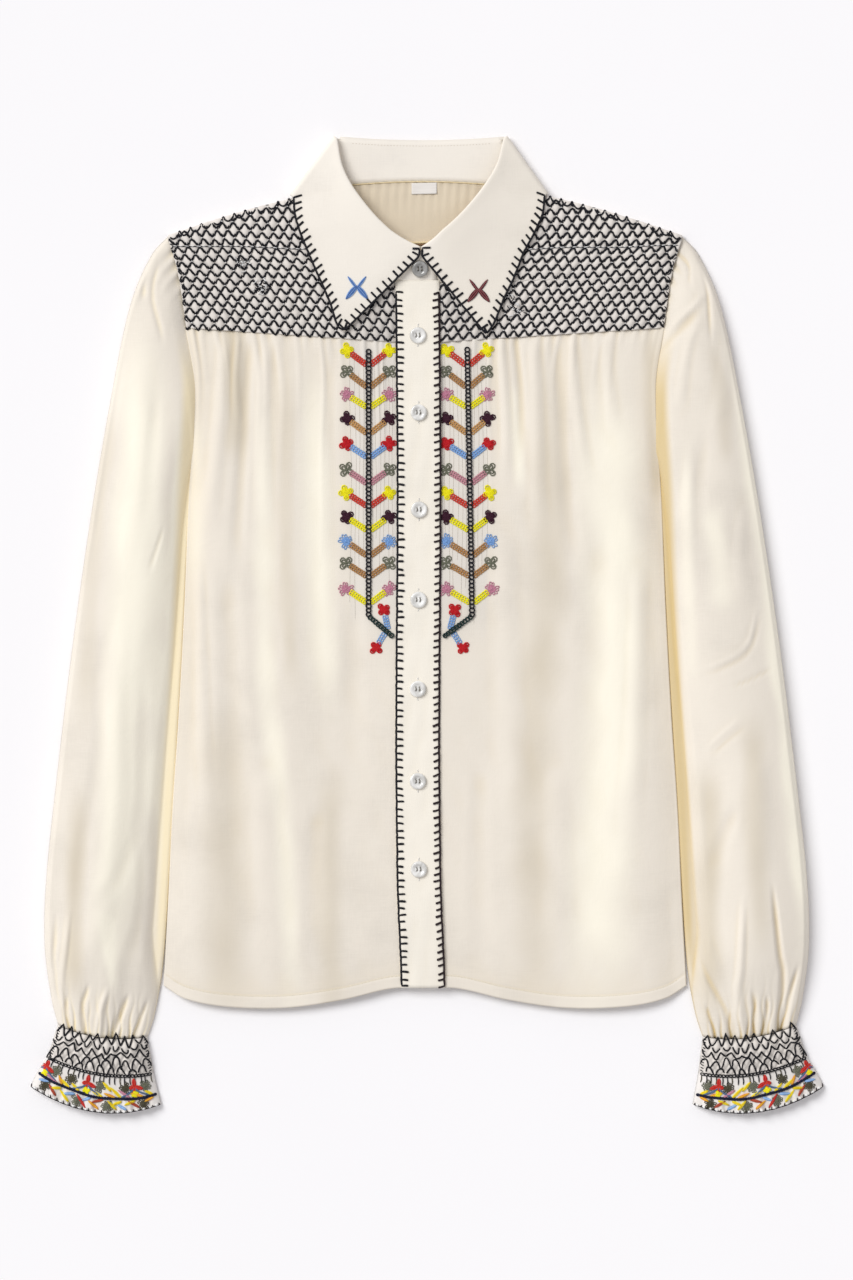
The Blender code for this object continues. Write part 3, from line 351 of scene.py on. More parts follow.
# Smocking: how many half diamonds lie across and up.
YOKE_COLUMNS = 38
YOKE_FRONT_ROWS = 11
YOKE_TOP_ROWS = 5
YOKE_SEAM_SHARE = YOKE_FRONT_ROWS / (YOKE_FRONT_ROWS + YOKE_TOP_ROWS)
CUFF_COLUMNS = 20
# Where the smocking thread has caught and tangled, on each side.
TANGLES = {-1: ((-120.0, 538.0), (-137.0, 556.0)), 1: ((68.0, 522.0), (62.0, 534.0))}
CUFF_SMOCK_END = 0.5

# Colours in linear light.
CREAM = (0.845, 0.78, 0.68)
BAND_CREAM = (0.895, 0.84, 0.755)
INSIDE_CREAM = (0.74, 0.64, 0.49)
# Painted warm shade for hollows and valleys; the paler one for the right sleeve.
VALLEY_SHADE = (0.70, 0.545, 0.28)
PALE_VALLEY_SHADE = (0.97, 0.84, 0.57)
# Painted light and painted shade, mixed in by the broad bands.
PAINTED_LIGHT = (1.0, 0.945, 0.80)
PAINTED_SHADE = (0.665, 0.59, 0.465)
SMOCK_GREY = (0.785, 0.735, 0.68)
RUFFLE_WHITE = (0.84, 0.80, 0.76)
# Painted shade of the fine tucks behind the trees, which greys the cloth.
TUCK_SHADE = (0.755, 0.715, 0.655)
INK = (0.008, 0.008, 0.012)
THREADS = {
    "black": INK,
    "navy": (0.006, 0.008, 0.03),
    "umber": (0.022, 0.012, 0.014),
    "burgundy": (0.085, 0.016, 0.022),
    "teal": (0.008, 0.028, 0.026),
    "cream": (0.85, 0.78, 0.62),
    "white": (0.88, 0.86, 0.82),
    "sky": (0.36, 0.55, 0.88),
    "azure": (0.20, 0.36, 0.68),
    "wine": (0.24, 0.07, 0.075),
    "gold": (0.90, 0.52, 0.03),
    "peat": (0.16, 0.14, 0.11),
    # Grey for the painted shadow lines of the fine tucks.
    "tuck": (0.62, 0.57, 0.50),
    "straw": (0.80, 0.66, 0.40),
    "bark": (0.28, 0.16, 0.08),
    "denim": (0.075, 0.15, 0.38),
    "tan": (0.52, 0.43, 0.31),
    "yellow": (1.0, 0.80, 0.01),
    "red": (0.55, 0.012, 0.018),
    "scarlet": (0.62, 0.05, 0.03),
    "olive": (0.165, 0.17, 0.12),
    "brown": (0.44, 0.23, 0.085),
    "ochre": (0.56, 0.31, 0.11),
    "pink": (0.58, 0.25, 0.34),
    "rose": (0.56, 0.26, 0.31),
    "plum": (0.045, 0.008, 0.022),
    "blue": (0.22, 0.40, 0.72),
    "orange": (0.80, 0.28, 0.04),
    "brick": (0.42, 0.07, 0.035),
    "moss": (0.085, 0.075, 0.045),
    "steel": (0.09, 0.15, 0.27),
}


# Curves, on whole arrays at once


def clamp(value, low=0.0, high=1.0):
    return np.clip(value, low, high)


def ease(t):
    t = clamp(t)
    return t * t * (3 - 2 * t)


def swell(t):
    return np.sin(np.pi / 2 * clamp(t))


def smooth_step(t, start, end, start_slope, end_slope):
    first = (2 * t**3 - 3 * t**2 + 1) * start + (t**3 - 2 * t**2 + t) * start_slope
    return first + (3 * t**2 - 2 * t**3) * end + (t**3 - t**2) * end_slope


def along_table(rows, key, column, at):
    """A column of a table at values of its key, on a smooth curve through the rows."""
    keys = np.array([getattr(row, key) for row in rows], float)
    values = np.array([getattr(row, column) for row in rows], float)
    at = clamp(np.asarray(at, float), keys[0], keys[-1])
    last = len(keys) - 1
    i = clamp(np.searchsorted(keys, at, "right") - 1, 0, last - 1)
    place = np.arange(last + 1)
    low, high = np.maximum(place - 1, 0), np.minimum(place + 1, last)
    slope = (values[high] - values[low]) / (keys[high] - keys[low])
    span = keys[i + 1] - keys[i]
    t = (at - keys[i]) / span
    return smooth_step(t, values[i], values[i + 1], span * slope[i], span * slope[i + 1])


def ease_between(points, count):
    """A smooth curve of a number of points through a few."""
    points = np.asarray(points, float)
    keys = np.linspace(0, 1, len(points))
    at = np.linspace(0, 1, count)
    i = clamp(np.searchsorted(keys, at, "right") - 1, 0, len(keys) - 2).astype(int)
    t = ((at - keys[i]) * (len(keys) - 1))[:, None]
    slope = np.gradient(points, axis=0)
    return smooth_step(t, points[i], points[i + 1], slope[i], slope[i + 1])


def steps(*spans):
    """Steps along spans of start, end and count, where each span begins at the end of the one before."""
    parts = [np.linspace(*span)[:-1] for span in spans[:-1]]
    return np.concatenate([*parts, np.linspace(*spans[-1])])


def ridge(offset, half):
    return 0.5 + 0.5 * np.cos(np.pi * clamp(np.abs(offset) / half))


def rough(x, y, size, seed=0.0):
    """Smooth noise from -1 to 1 over arrays, as a sum of a few slanted waves."""
    total = np.zeros(np.broadcast(x, y).shape)
    wave = random.Random(seed)
    for _ in range(7):
        turn = wave.uniform(0, math.pi)
        reach = size * wave.uniform(0.7, 1.6)
        phase = wave.uniform(0, 2 * math.pi)
        total += np.sin((x * math.cos(turn) + y * math.sin(turn)) * 2 * math.pi / reach + phase)
    return total / 4.0


# The body's form


def body_half(y):
    return along_table(BODY_WIDTHS, "y", "half", y)


def hem_y(x):
    return along_table(HEM_CURVE, "x", "y", np.abs(x))


def shoulder_y(x):
    return along_table(SHOULDER_LINE, "x", "y", np.abs(x))


def yoke_seam_y(x):
    return YOKE_SEAM_MIDDLE_Y + (YOKE_SEAM_SIDE_Y - YOKE_SEAM_MIDDLE_Y) * np.abs(x) / YOKE_SEAM_HALF


def placket_x(y):
    return along_table(PLACKET_LINE, "y", "x", y)


def body_top(x, y):
    edge = SIDE_EDGE_TOP + (ARMHOLE_EDGE_TOP - SIDE_EDGE_TOP) * ease((y - ARMHOLE_START_Y) / ARMHOLE_RISE)
    side = edge + (BODY_LOFT - edge) * swell((body_half(y) - np.abs(x)) / SIDE_ROUNDING)
    shoulder_rise = swell((shoulder_y(x) - y) / SHOULDER_ROUNDING)
    shoulder = SHOULDER_EDGE_TOP + (BODY_LOFT - SHOULDER_EDGE_TOP) * shoulder_rise
    hem = 1.0 - 0.3 * ease((HEM_THINNING - y + hem_y(x)) / HEM_THINNING)
    lower = np.minimum(shoulder + 1.0, side * shoulder / BODY_LOFT + 0.6)
    return np.minimum(side, lower) * hem


def collar_lift(x, y):
    out = np.abs(x - NECK_MIDDLE_X)
    return COLLAR_LIFT * ease((y - COLLAR_LIFT_START_Y) / 16) * ease((COLLAR_LIFT_REACH - out) / 13)


def neck_out(y):
    return along_table(NECK_SEAM, "y", "out", y)


# Long soft folds of the fronts: top point, low point, half width, height.
BODY_FOLDS = rows_of(
    "top_x top_y low_x low_y half height",
    (-150, 500, -164, 330, 9, 1.5), (-133, 500, -141, 300, 7, -1.2), (-141, 502, -140, 430, 4, 1.2),
    (-118, 500, -122, 340, 8, 1.1), (-96, 500, -98, 120, 18, 1.3), (-70, 490, -66, 250, 10, -0.9),
    (-58, 470, -52, 120, 12, -1.0), (-150, 330, -134, 20, 15, -1.4), (-172, 330, -160, 110, 8, 1.2),
    (-120, 180, -112, -5, 16, 1.1), (-80, 150, -84, 0, 12, -0.9), (58, 505, 61, 380, 6, 1.5),
    (68, 505, 74, 400, 5, -1.3), (80, 505, 88, 330, 8, 1.4), (97, 505, 116, 300, 9, -1.2),
    (109, 505, 122, 380, 6, 1.2), (136, 505, 140, 420, 7, 1.0), (60, 360, 66, 60, 16, 1.2),
    (130, 360, 122, 20, 20, -1.3), (160, 330, 152, 60, 11, 1.1), (96, 180, 104, -5, 15, 1.0),
    (40, 180, 44, 0, 12, -0.8),
)


def body_folds(x, y):
    total = np.zeros(np.broadcast(x, y).shape)
    for k, fold in enumerate(BODY_FOLDS):
        t = (fold.top_y - y) / (fold.top_y - fold.low_y)
        sway = 1.2 * np.sin(t * 5.0 + k)
        middle = fold.top_x + (fold.low_x - fold.top_x) * t + sway
        fade = ease((t + 0.02) / 0.12) * ease((1 - t) / 0.45)
        total += 1.15 * fold.height * fade * ridge(x - middle, fold.half * (0.8 + 0.5 * clamp(t)))
    inside = ease((body_half(y) - np.abs(x)) / 14)
    inside = inside * ease((np.abs(x - placket_x(y)) - 19) / 14)
    return total * inside
def gathers(side):
    """Small gathers under a yoke: one under each smocked point, and some that run further down."""
    rows = []
    luck = random.Random(11 if side < 0 else 12)
    count = YOKE_COLUMNS // 2
    for k in range(count):
        at = (k + 0.5 + luck.uniform(-0.12, 0.12)) / count
        rows.append(Gather(at, luck.uniform(0.4, 1.0), 0.020, luck.uniform(7, 16)))
        if luck.random() < 0.5:
            near = at + luck.uniform(-0.02, 0.02)
            height = luck.uniform(0.5, 1.2)
            half = luck.uniform(0.014, 0.026)
            rows.append(Gather(near, height, half, luck.uniform(25, 80)))
    return rows


def near_line(path, x, y):
    """How far points lie from a line, and the share of the line's length they lie beside."""
    nearest, at, run = np.full(x.shape, 1e9), np.zeros(x.shape), 0.0
    for a, b in zip(path, path[1:]):
        way = b - a
        length = math.hypot(*way)
        t = clamp(((x - a[0]) * way[0] + (y - a[1]) * way[1]) / length**2)
        off = np.hypot(x - a[0] - way[0] * t, y - a[1] - way[1] * t)
        at = np.where(off < nearest, run + t * length, at)
        nearest = np.minimum(off, nearest)
        run += length
    return nearest, at / run


def painted_light_lines(tones, x, y):
    """Broad bands of painted light and painted shade on the cloth, from -1 to 1, a little uneven."""
    total = np.zeros(x.shape)
    for tone in tones:
        nearest, share = near_line(ease_between(tone.points, 14), x, y)
        fade = ease(share / 0.22) * ease((1 - share) / 0.22)
        half = tone.half * (1 + 0.18 * rough(x * 0.6, y, 60, tone.half))
        total += tone.height * fade * ridge(nearest, half)
    return clamp(total * (1 + 0.22 * rough(x, y * 0.7, 44, 61)), -1.0, 1.0)


def front_z(side, x, y, t, below):
    z = body_top(x, y) + body_folds(x, y)
    inside = ease((body_half(y) - np.abs(x)) / 10)
    z = z + (1.1 * rough(x * 1.2, y * 0.6, 105, 3) + 0.10 * rough(x, y * 0.8, 24, 4)) * inside
    calm = ease((np.abs(x - placket_x(y)) - 17) / 8)
    total = np.zeros(x.shape)
    for gather in gathers(side):
        fade = np.exp(-((np.maximum(below, 0) / gather.length) ** 1.4))
        drift = 0.004 * np.sin(below / 16 + gather.at * 40)
        total += 0.95 * gather.height * fade * ridge(t - gather.at - drift, gather.half)
    z += total * (0.35 + 0.65 * calm) - 0.5 * np.exp(-((below / 5) ** 2))
    return z


# Building pieces


def to_frame(points):
    return (np.asarray(points, float).reshape(-1, 3) + SHIFT) * MM


def make_mesh(name, points, faces, materials, node=None, slot=None, thickness=None, offset=-1.0):
    mesh = bpy.data.meshes.new(name)
    mesh.from_pydata(to_frame(points).tolist(), [], faces)
    mesh.update()
    mesh.shade_smooth()
    piece = bpy.data.objects.new(name, mesh)
    for material in materials:
        mesh.materials.append(material)
    bpy.context.scene.collection.objects.link(piece)
    if thickness:
        solid = piece.modifiers.new("cloth", "SOLIDIFY")
        solid.thickness = thickness * MM
        solid.offset = offset
    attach(piece, "root")
    if node:
        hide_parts(node)
    return piece


def smoothed(z, times):
    for _ in range(times):
        wide = np.pad(z, 1, mode="edge")
        z = (wide[:-2, 1:-1] + wide[2:, 1:-1] + wide[1:-1, :-2] + wide[1:-1, 2:] + 2 * z) / 6
    return z


def grid_piece(name, x, y, z, materials, closed=False, deepen=0.5, shade=None, times=14, tone=None, **kind):
    """A piece from rows of points. Its hollows are marked, for the warm shade painted into folds."""
    rows, columns = x.shape
    points = np.stack([x, y, z], axis=-1)
    last = columns if closed else columns - 1
    a = (np.arange(rows - 1)[:, None] * columns + np.arange(last)).ravel()
    b = (np.arange(rows - 1)[:, None] * columns + (np.arange(last) + 1) % columns).ravel()
    faces = np.stack([a, b, b + columns, a + columns], axis=1)
    middle, side = rows // 2, columns // 4 if closed else columns // 2
    across = points[middle, side + 1] - points[middle, side]
    along = points[middle + 1, side] - points[middle, side]
    if np.cross(across, along)[2] < 0:
        faces = faces[:, ::-1]
    piece = make_mesh(name, points, faces.tolist(), materials, **kind)
    hollow = clamp((smoothed(z, times) - z) * deepen)
    if shade is not None:
        hollow = clamp(hollow + shade)
    add_mark(piece, "hollow", hollow)
    # A mark for broad painted light and shade, or an even lightening.
    if tone is not None:
        add_mark(piece, "tone", tone)
    return piece


def add_mark(piece, name, values):
    mark = piece.data.attributes.new(name, "FLOAT", "POINT")
    mark.data.foreach_set("value", values.ravel().astype(np.float32))


def tree_of(*pieces):
    """A search tree over the surfaces of pieces, for laying thread on them."""
    points, faces = [], []
    for piece in pieces:
        first = len(points)
        points += [vertex.co.copy() for vertex in piece.data.vertices]
        faces += [[first + k for k in polygon.vertices] for polygon in piece.data.polygons]
    return BVHTree.FromPolygons(points, faces)


def lay(tree, path, lift):
    """A path seen from above, set down on a surface: rows of x, y and z."""
    laid = []
    for x, y in path:
        place = Vector(((x + SHIFT[0]) * MM, (y + SHIFT[1]) * MM, 0.2))
        hit = tree.ray_cast(place, Vector((0, 0, -1)))[0]
        if hit:
            laid.append((x, y, hit.z / MM + lift))
    return np.array(laid)


class Yarn:
    """Threads as thin tubes, gathered into one mesh with a material for each colour."""

    def __init__(self, name):
        self.name = name
        self.points = []
        self.faces = []
        self.turns = []
        self.colours = []
        self.used = []
        self.count = 0

    def strand(self, path, radius, colour, sides=5, taper=0.4):
        """One thread along a path of points, drawn in at its ends."""
        path = np.asarray(path, float)
        count = len(path)
        if count < 2:
            return
        thick = np.broadcast_to(np.asarray(radius, float), (count,)).copy()
        thick[[0, -1]] *= taper
        tangent = np.gradient(path, axis=0)
        tangent /= np.maximum(np.linalg.norm(tangent, axis=1, keepdims=True), 1e-9)
        across = np.cross(tangent, (0.0, 0.0, 1.0))
        size = np.linalg.norm(across, axis=1, keepdims=True)
        across = np.where(size > 1e-3, across / np.maximum(size, 1e-9), (1.0, 0.0, 0.0))
        above = np.cross(across, tangent)
        turn = 2 * math.pi * np.arange(sides) / sides
        ring = np.cos(turn)[None, :, None] * across[:, None] + np.sin(turn)[None, :, None] * above[:, None]
        points = path[:, None] + thick[:, None, None] * ring
        self.points.append(points.reshape(-1, 3))
        k = np.arange(count - 1)[:, None] * sides
        s, t = np.arange(sides)[None, :], (np.arange(sides)[None, :] + 1) % sides
        faces = np.stack([k + s, k + t, k + t + sides, k + s + sides], axis=-1).reshape(-1, 4) + self.count
        self.faces += faces.tolist()
        length = np.concatenate([[0], np.cumsum(np.linalg.norm(np.diff(path, axis=0), axis=1))]) / 2
        low = np.broadcast_to(length[:-1, None], (count - 1, sides))
        high = np.broadcast_to(length[1:, None], (count - 1, sides))
        left = np.broadcast_to(np.arange(sides) / sides, low.shape)
        right = left + 1 / sides
        pairs = ((left, low), (right, low), (right, high), (left, high))
        corners = [np.stack(pair, axis=-1) for pair in pairs]
        self.turns.append(np.stack(corners, axis=2).reshape(-1, 2))
        for first, flip in ((self.count, True), (self.count + (count - 1) * sides, False)):
            cap = list(range(first, first + sides))
            self.faces.append(cap[::-1] if flip else cap)
            self.turns.append(np.full((sides, 2), 0.5))
        if colour not in self.used:
            self.used.append(colour)
        self.colours += [self.used.index(colour)] * (len(faces) + 2)
        self.count += count * sides
    def sew(self, tree, path, lift, radius, colour, fewest=2, **kind):
        """A thread laid on a surface, unless too little of its path lies on it."""
        laid = lay(tree, path, lift)
        if len(laid) >= fewest:
            self.strand(laid, radius, colour, **kind)
    def build(self):
        materials = [thread_material(colour) for colour in self.used]
        piece = make_mesh(self.name, np.concatenate(self.points), self.faces, materials)
        piece.data.polygons.foreach_set("material_index", self.colours)
        twist = piece.data.uv_layers.new(name="twist")
        twist.data.foreach_set("uv", np.concatenate(self.turns).ravel().astype(np.float32))
        return piece


# Materials


def tint(colour, factor):
    return tuple(min(1.0, max(0.0, c * factor)) for c in colour)


class Surface:
    """A material that is built up from shader nodes."""

    def __init__(self, name):
        self.material = bpy.data.materials.new(name)
        self.material.use_nodes = True
        self.nodes = self.material.node_tree.nodes
        self.links = self.material.node_tree.links
        self.place = self.node("TexCoord", "Object")

    def put(self, socket, value):
        """Gives an input the output of another node, or a plain value."""
        if isinstance(value, bpy.types.NodeSocket):
            self.links.new(value, socket)
        else:
            socket.default_value = value

    def node(self, kind, output, settings=(), inputs=()):
        made = self.nodes.new("ShaderNode" + kind)
        for key, value in dict(settings).items():
            setattr(made, key, value)
        for key, value in dict(inputs).items():
            self.put(made.inputs[key], value)
        return made.outputs[output]

    def noise(self, vector, scale, detail=2.0, distortion=0.0):
        inputs = {"Vector": vector, "Scale": scale, "Detail": detail, "Distortion": distortion}
        return self.node("TexNoise", "Fac", inputs=inputs)

    def stretched(self, scale):
        return self.node("Mapping", "Vector", inputs={"Vector": self.place, "Scale": scale})

    def maths(self, operation, *values):
        return self.node("Math", 0, {"operation": operation}, enumerate(values))

    def bump(self, height, distance, strength, **more):
        inputs = {"Height": height, "Distance": distance, "Strength": strength, **more}
        return self.node("Bump", "Normal", inputs=inputs)

    def ramp(self, factor, *stops):
        made = self.nodes.new("ShaderNodeValToRGB")
        first, last = made.color_ramp.elements
        first.position, last.position = stops[0][0], stops[-1][0]
        first.color, last.color = (*stops[0][1], 1), (*stops[-1][1], 1)
        for position, colour in stops[1:-1]:
            made.color_ramp.elements.new(position).color = (*colour, 1)
        self.links.new(factor, made.inputs["Fac"])
        return made.outputs["Color"]

    def mark(self, name):
        """A mark that the mesh carries at each of its points."""
        return self.node("Attribute", "Fac", {"attribute_name": name})

    def mix(self, factor, base, colour):
        inputs = {"Factor": factor, "A": base, "B": (*colour, 1)}
        return self.node("Mix", "Result", {"data_type": "RGBA"}, inputs)

    def finish(self, colour, roughness, **more):
        shader = self.nodes["Principled BSDF"]
        self.put(shader.inputs["Base Color"], colour)
        self.put(shader.inputs["Roughness"], roughness)
        for key, value in more.items():
            self.put(shader.inputs[key.replace("_", " ")], value)
        return self.material


def cloth_material(name, colour, valley_shade, creasing=0.35):
    """Plain-woven lawn: threads across and along, slubs, soft creases, and a painted warm shade in hollows.
    """
    made = Surface(name)
    warp = made.noise(made.stretched((1900, 90, 400)), scale=1.0)
    weft = made.noise(made.stretched((80, 1700, 400)), scale=1.0)
    woven = made.maths("ADD", warp, weft)
    cloud = made.noise(made.place, scale=22.0, detail=4.0, distortion=0.4)
    patches = made.noise(made.place, scale=5.0)
    uneven = made.maths("MULTIPLY_ADD", woven, 0.30, cloud)
    uneven = made.maths("MULTIPLY_ADD", patches, 0.8, uneven)
    uneven = made.maths("MULTIPLY", uneven, 0.5)
    base = made.ramp(uneven, (0.4, tint(colour, 0.90)), (0.6, colour), (0.8, tint(colour, 1.03)))
    # Broad painted light and painted shade (on the placket band an even lightening), then painted warm shade
    # in hollows and painted shade of the fine tucks.
    tone = made.mark("tone")
    for sign, toward in ((1.0, PAINTED_LIGHT), (-1.0, PAINTED_SHADE)):
        base = made.mix(made.maths("MULTIPLY", tone, sign), base, toward)
    base = made.mix(made.mark("hollow"), base, valley_shade)
    base = made.mix(made.mark("smoky"), base, TUCK_SHADE)
    weave = made.bump(woven, distance=0.0001, strength=0.6)
    crumple = made.noise(made.place, scale=60.0, detail=4.0, distortion=0.8)
    creases = made.bump(crumple, distance=0.0008, strength=creasing, Normal=weave)
    sheen = {"Specular_IOR_Level": 0.2, "Sheen_Weight": 0.15, "Sheen_Roughness": 0.5}
    return made.finish(base, roughness=0.9, Normal=creases, **sheen)


def thread_material(colour):
    """Twisted cotton thread, with its twist running along the tube."""
    name = "thread_" + colour
    if name in bpy.data.materials:
        return bpy.data.materials[name]
    made = Surface(name)
    base = THREADS[colour]
    inputs = {"Vector": made.node("TexCoord", "UV"), "Scale": 1.6, "Distortion": 1.5}
    twist = made.node("TexWave", "Fac", {"bands_direction": "DIAGONAL"}, inputs)
    uneven = made.maths("MULTIPLY", twist, made.noise(made.place, scale=700.0, detail=3.0))
    # Painted highlight and shade on the plies: the colour is lighter and darker along the twist, and varies a
    # little at random.
    shades = made.ramp(uneven, (0.0, tint(base, 0.85)), (0.45, tint(base, 1.25)))
    twisted = made.bump(twist, distance=0.0002, strength=0.6)
    return made.finish(shades, roughness=0.75, Normal=twisted, Specular_IOR_Level=0.3)


def button_material(name, light):
    """Pearly shell with a faint swirl; light below 1 darkens it all, as a painted shade."""
    made = Surface(name)
    swirl = made.noise(made.place, scale=110.0, distortion=1.2)
    stops = ((0.34, (0.62, 0.61, 0.58)), (0.5, (0.80, 0.79, 0.76)), (0.64, (0.92, 0.91, 0.88)))
    shades = made.ramp(swirl, *((position, tint(shade, light)) for position, shade in stops))
    coat = {"Coat_Weight": 0.7, "Coat_Roughness": 0.06}
    waved = made.bump(swirl, distance=0.0002, strength=0.2)
    return made.finish(shades, roughness=0.25, Normal=waved, **coat)


def tape_material():
    """Satin label tape, ribbed across."""
    made = Surface("label_tape")
    rib = made.noise(made.stretched((60, 3200, 60)), scale=1.0)
    shades = made.ramp(rib, (0.3, (0.76, 0.72, 0.67)), (0.7, (0.86, 0.82, 0.77)))
    ribbed = made.bump(rib, distance=0.0001, strength=0.5)
    return made.finish(shades, roughness=0.5, Normal=ribbed)


def floor_surface():
    made = Surface("paper_floor")
    grain = made.noise(made.place, scale=3.0, detail=3.0)
    shades = made.ramp(grain, (0.3, FLOOR_WHITE), (0.7, tint(FLOOR_WHITE, 1.01)))
    return made.finish(shades, roughness=0.95, Specular_IOR_Level=0.0)


lawn = cloth_material("cream_lawn", CREAM, VALLEY_SHADE)
# The same lawn with a paler painted shade in its hollows, for the right sleeve.
pale_shade_lawn = cloth_material("pale_shade_lawn", CREAM, PALE_VALLEY_SHADE)
inside_lawn = cloth_material("lawn_inside", INSIDE_CREAM, tint(INSIDE_CREAM, 0.7))
smocked = cloth_material("smocked_lawn", SMOCK_GREY, tint(SMOCK_GREY, 0.55), 0.5)
ruffled = cloth_material("ruffle_lawn", RUFFLE_WHITE, tint(RUFFLE_WHITE, 0.6), 0.4)
banded = cloth_material("banded_lawn", BAND_CREAM, VALLEY_SHADE, 0.2)
pearl = button_material("pearl_button", 1.0)
# The collar button's shell, painted darker for the shade of the collar leaves over it.
shaded_pearl = button_material("shaded_pearl_button", 0.42)


# Fronts and back


def side_turn(x, y, z, side):
    """Carries a front round its side seam on to the back, with a few more columns."""
    edge_x, edge_y, edge_z = x[:, :1], y[:, :1], z[:, :1]
    parts = []
    for out, share in SIDE_TURN:
        parts.append((edge_x + side * out, edge_y, edge_z * share + 0.25))
    columns = [np.hstack(group) for group in zip(*parts)]
    return [np.hstack([added, old]) for added, old in zip(columns, (x, y, z))]


def front_panel(side, name):
    down = np.concatenate([steps((0, 0.14, 44), (0.14, 0.975, 96)), np.linspace(0.978, 1, 9)])
    even = np.linspace(0, 1, 140)
    across = 0.35 * (0.5 - 0.5 * np.cos(np.pi * even)) + 0.65 * even
    t, share = np.meshgrid(across, down)
    y = np.full(t.shape, MIDDLE_Y)
    for _ in range(SETTLING):
        seam = side * (body_half(y) + SEAM_OVERLAP)
        band = placket_x(y) + side * UNDER_PLACKET
        x = seam + (band - seam) * t
        start = yoke_seam_y(x) + 0.6
        y = start + (hem_y(x) - start) * share
    z = front_z(side, x, y, t, start - y)
    turned_up = hem_y(x) + HEM_DEPTH - y
    z = z + 0.35 * ease(turned_up / 0.8) - 0.3 * ridge(turned_up + 0.6, 0.9)
    # Painted shade along the side edges, where the cloth rolls away.
    edge = 0.10 * ease(1 - (body_half(y) - np.abs(x)) / 20) * ease((y - 60) / 200)
    x, y, z = side_turn(x, y, z, side)
    edge = np.hstack([np.zeros((len(edge), len(SIDE_TURN))), edge])
    kind = {"node": "front_" + name, "slot": "cream_lawn", "thickness": CLOTH}
    # Broad bands of painted light and painted shade.
    tone = painted_light_lines(FRONT_PAINTED_LIGHT, x, y)
    piece = grid_piece("cloth_front_" + name, x, y, z, [lawn], shade=edge, tone=tone, **kind)
    # Painted shade of the fine tucks, greying the cloth beside the placket behind the trees.
    off = np.abs(x - placket_x(y))
    beside_placket = ease((TREE_GREY_OUT - off) / 5) * ease((off - 12) / 6)
    down_trees = ease((TREE_GREY_TOP - y) / 8) * ease((y - TREE_GREY_LOW) / 60)
    add_mark(piece, "smoky", 0.75 * beside_placket * down_trees)
    return piece


def back_neck_y(x):
    """The back neck seam, at a way across from the neck's middle."""
    return BACK_NECK_Y - BACK_NECK_DIP * (x / BACK_NECK_HALF) ** 2


def back_top_y(x):
    out = np.abs(x - NECK_MIDDLE_X)
    under_yoke = shoulder_y(x) - BACK_YOKE_DEPTH
    return np.where(out < BACK_NECK_HALF - 0.3, back_neck_y(out) + 0.4, under_yoke)


def back_panel():
    neck = BACK_NECK_HALF - 0.6
    wing = np.linspace(BACK_NECK_HALF, BACK_HALF, 14)
    place = np.concatenate([-wing[::-1], np.linspace(-neck, neck, 84), wing])
    place, share = np.meshgrid(place, steps((0, 0.86, 30), (0.86, 1, 50)))
    x = place + NECK_MIDDLE_X
    for _ in range(SETTLING):
        y = hem_y(x) + (back_top_y(x) - hem_y(x)) * share
        edge = np.copysign(body_half(y) - 0.8, place)
        spread = clamp((np.abs(place) - 120) / 60)
        x = (place + NECK_MIDDLE_X) * (1 - spread) + spread * edge * (np.abs(place) / BACK_HALF)
    below = back_top_y(x) - y
    seen = ease((BACK_NECK_HALF - np.abs(x - NECK_MIDDLE_X)) / 8)
    ripple = np.abs(np.sin(x * math.pi / 7.0 + 0.7 * np.sin(x / 17) + 0.5 * np.sin(y / 13)))
    z = collar_lift(x, y) + CLOTH + 0.9 * ripple * seen * np.exp(-((below / 20) ** 2))
    z = z + 0.35 * seen * rough(x, y, 30, 5) * ease(below / 6) * ease((y - 556) / 8)
    z = z + 0.7 * seen * ridge(y - BACK_SEAM_Y, 1.6)
    # Darker below the seam, and painted shade along the top edge under the stand.
    dark = seen * (0.75 * ease((BACK_SEAM_Y - 0.4 - y) / 1.2) + 0.3 * ease(1 - below / 5))
    kind = {"node": "back", "slot": "cream_lawn", "thickness": CLOTH}
    return grid_piece("cloth_back", x, y, z, [inside_lawn], shade=dark, **kind)


# Yokes


def yoke_ends(side, share):
    """The armhole's and the placket's or neck's ends of a line across a yoke."""
    t = clamp(share / YOKE_SEAM_SHARE)
    u = clamp((share - YOKE_SEAM_SHARE) / (1 - YOKE_SEAM_SHARE))
    outer_y = YOKE_SEAM_SIDE_Y + (SHOULDER_SEAM_Y + 1 - YOKE_SEAM_SIDE_Y) * t + 5.0 * u
    inner_y = YOKE_SEAM_MIDDLE_Y + 0.4 + (SHOULDER_SEAM_Y - 1.4 - YOKE_SEAM_MIDDLE_Y) * t + 39.0 * u
    outer_x = side * (body_half(outer_y) + 0.5)
    band = placket_x(inner_y) + side * (UNDER_PLACKET + 0.5)
    neck = NECK_MIDDLE_X + side * (neck_out(inner_y) - 0.3)
    return outer_x, outer_y, np.where(inner_y < STAND_SEAM_Y, band, neck), inner_y


def yoke_plan(side, t, share):
    """A yoke seen from above: t is 0 at the armhole and 1 at the front; share is 0 at the lower seam."""
    ax, ay, bx, by = yoke_ends(side, share)
    bend = clamp((share - YOKE_SEAM_SHARE) / (1 - YOKE_SEAM_SHARE))
    top_ax, top_ay, top_bx, top_by = yoke_ends(side, np.ones_like(share))
    x, y = ax + (bx - ax) * t, ay + (by - ay) * t
    top_x, top_y = top_ax + (top_bx - top_ax) * t, top_ay + (top_by - top_ay) * t
    return x, y + bend * (shoulder_y(top_x) - 2.6 - top_y)


def seam_line_y(x):
    """The dotted seam across a yoke at the top of its even smocking."""
    return SHOULDER_SEAM_Y + 1.0 - 3.0 * clamp((175 - np.abs(x)) / 120)


def lattice_start_y(x, side):
    return yoke_seam_y(x) - 0.6 + 0.6 * side


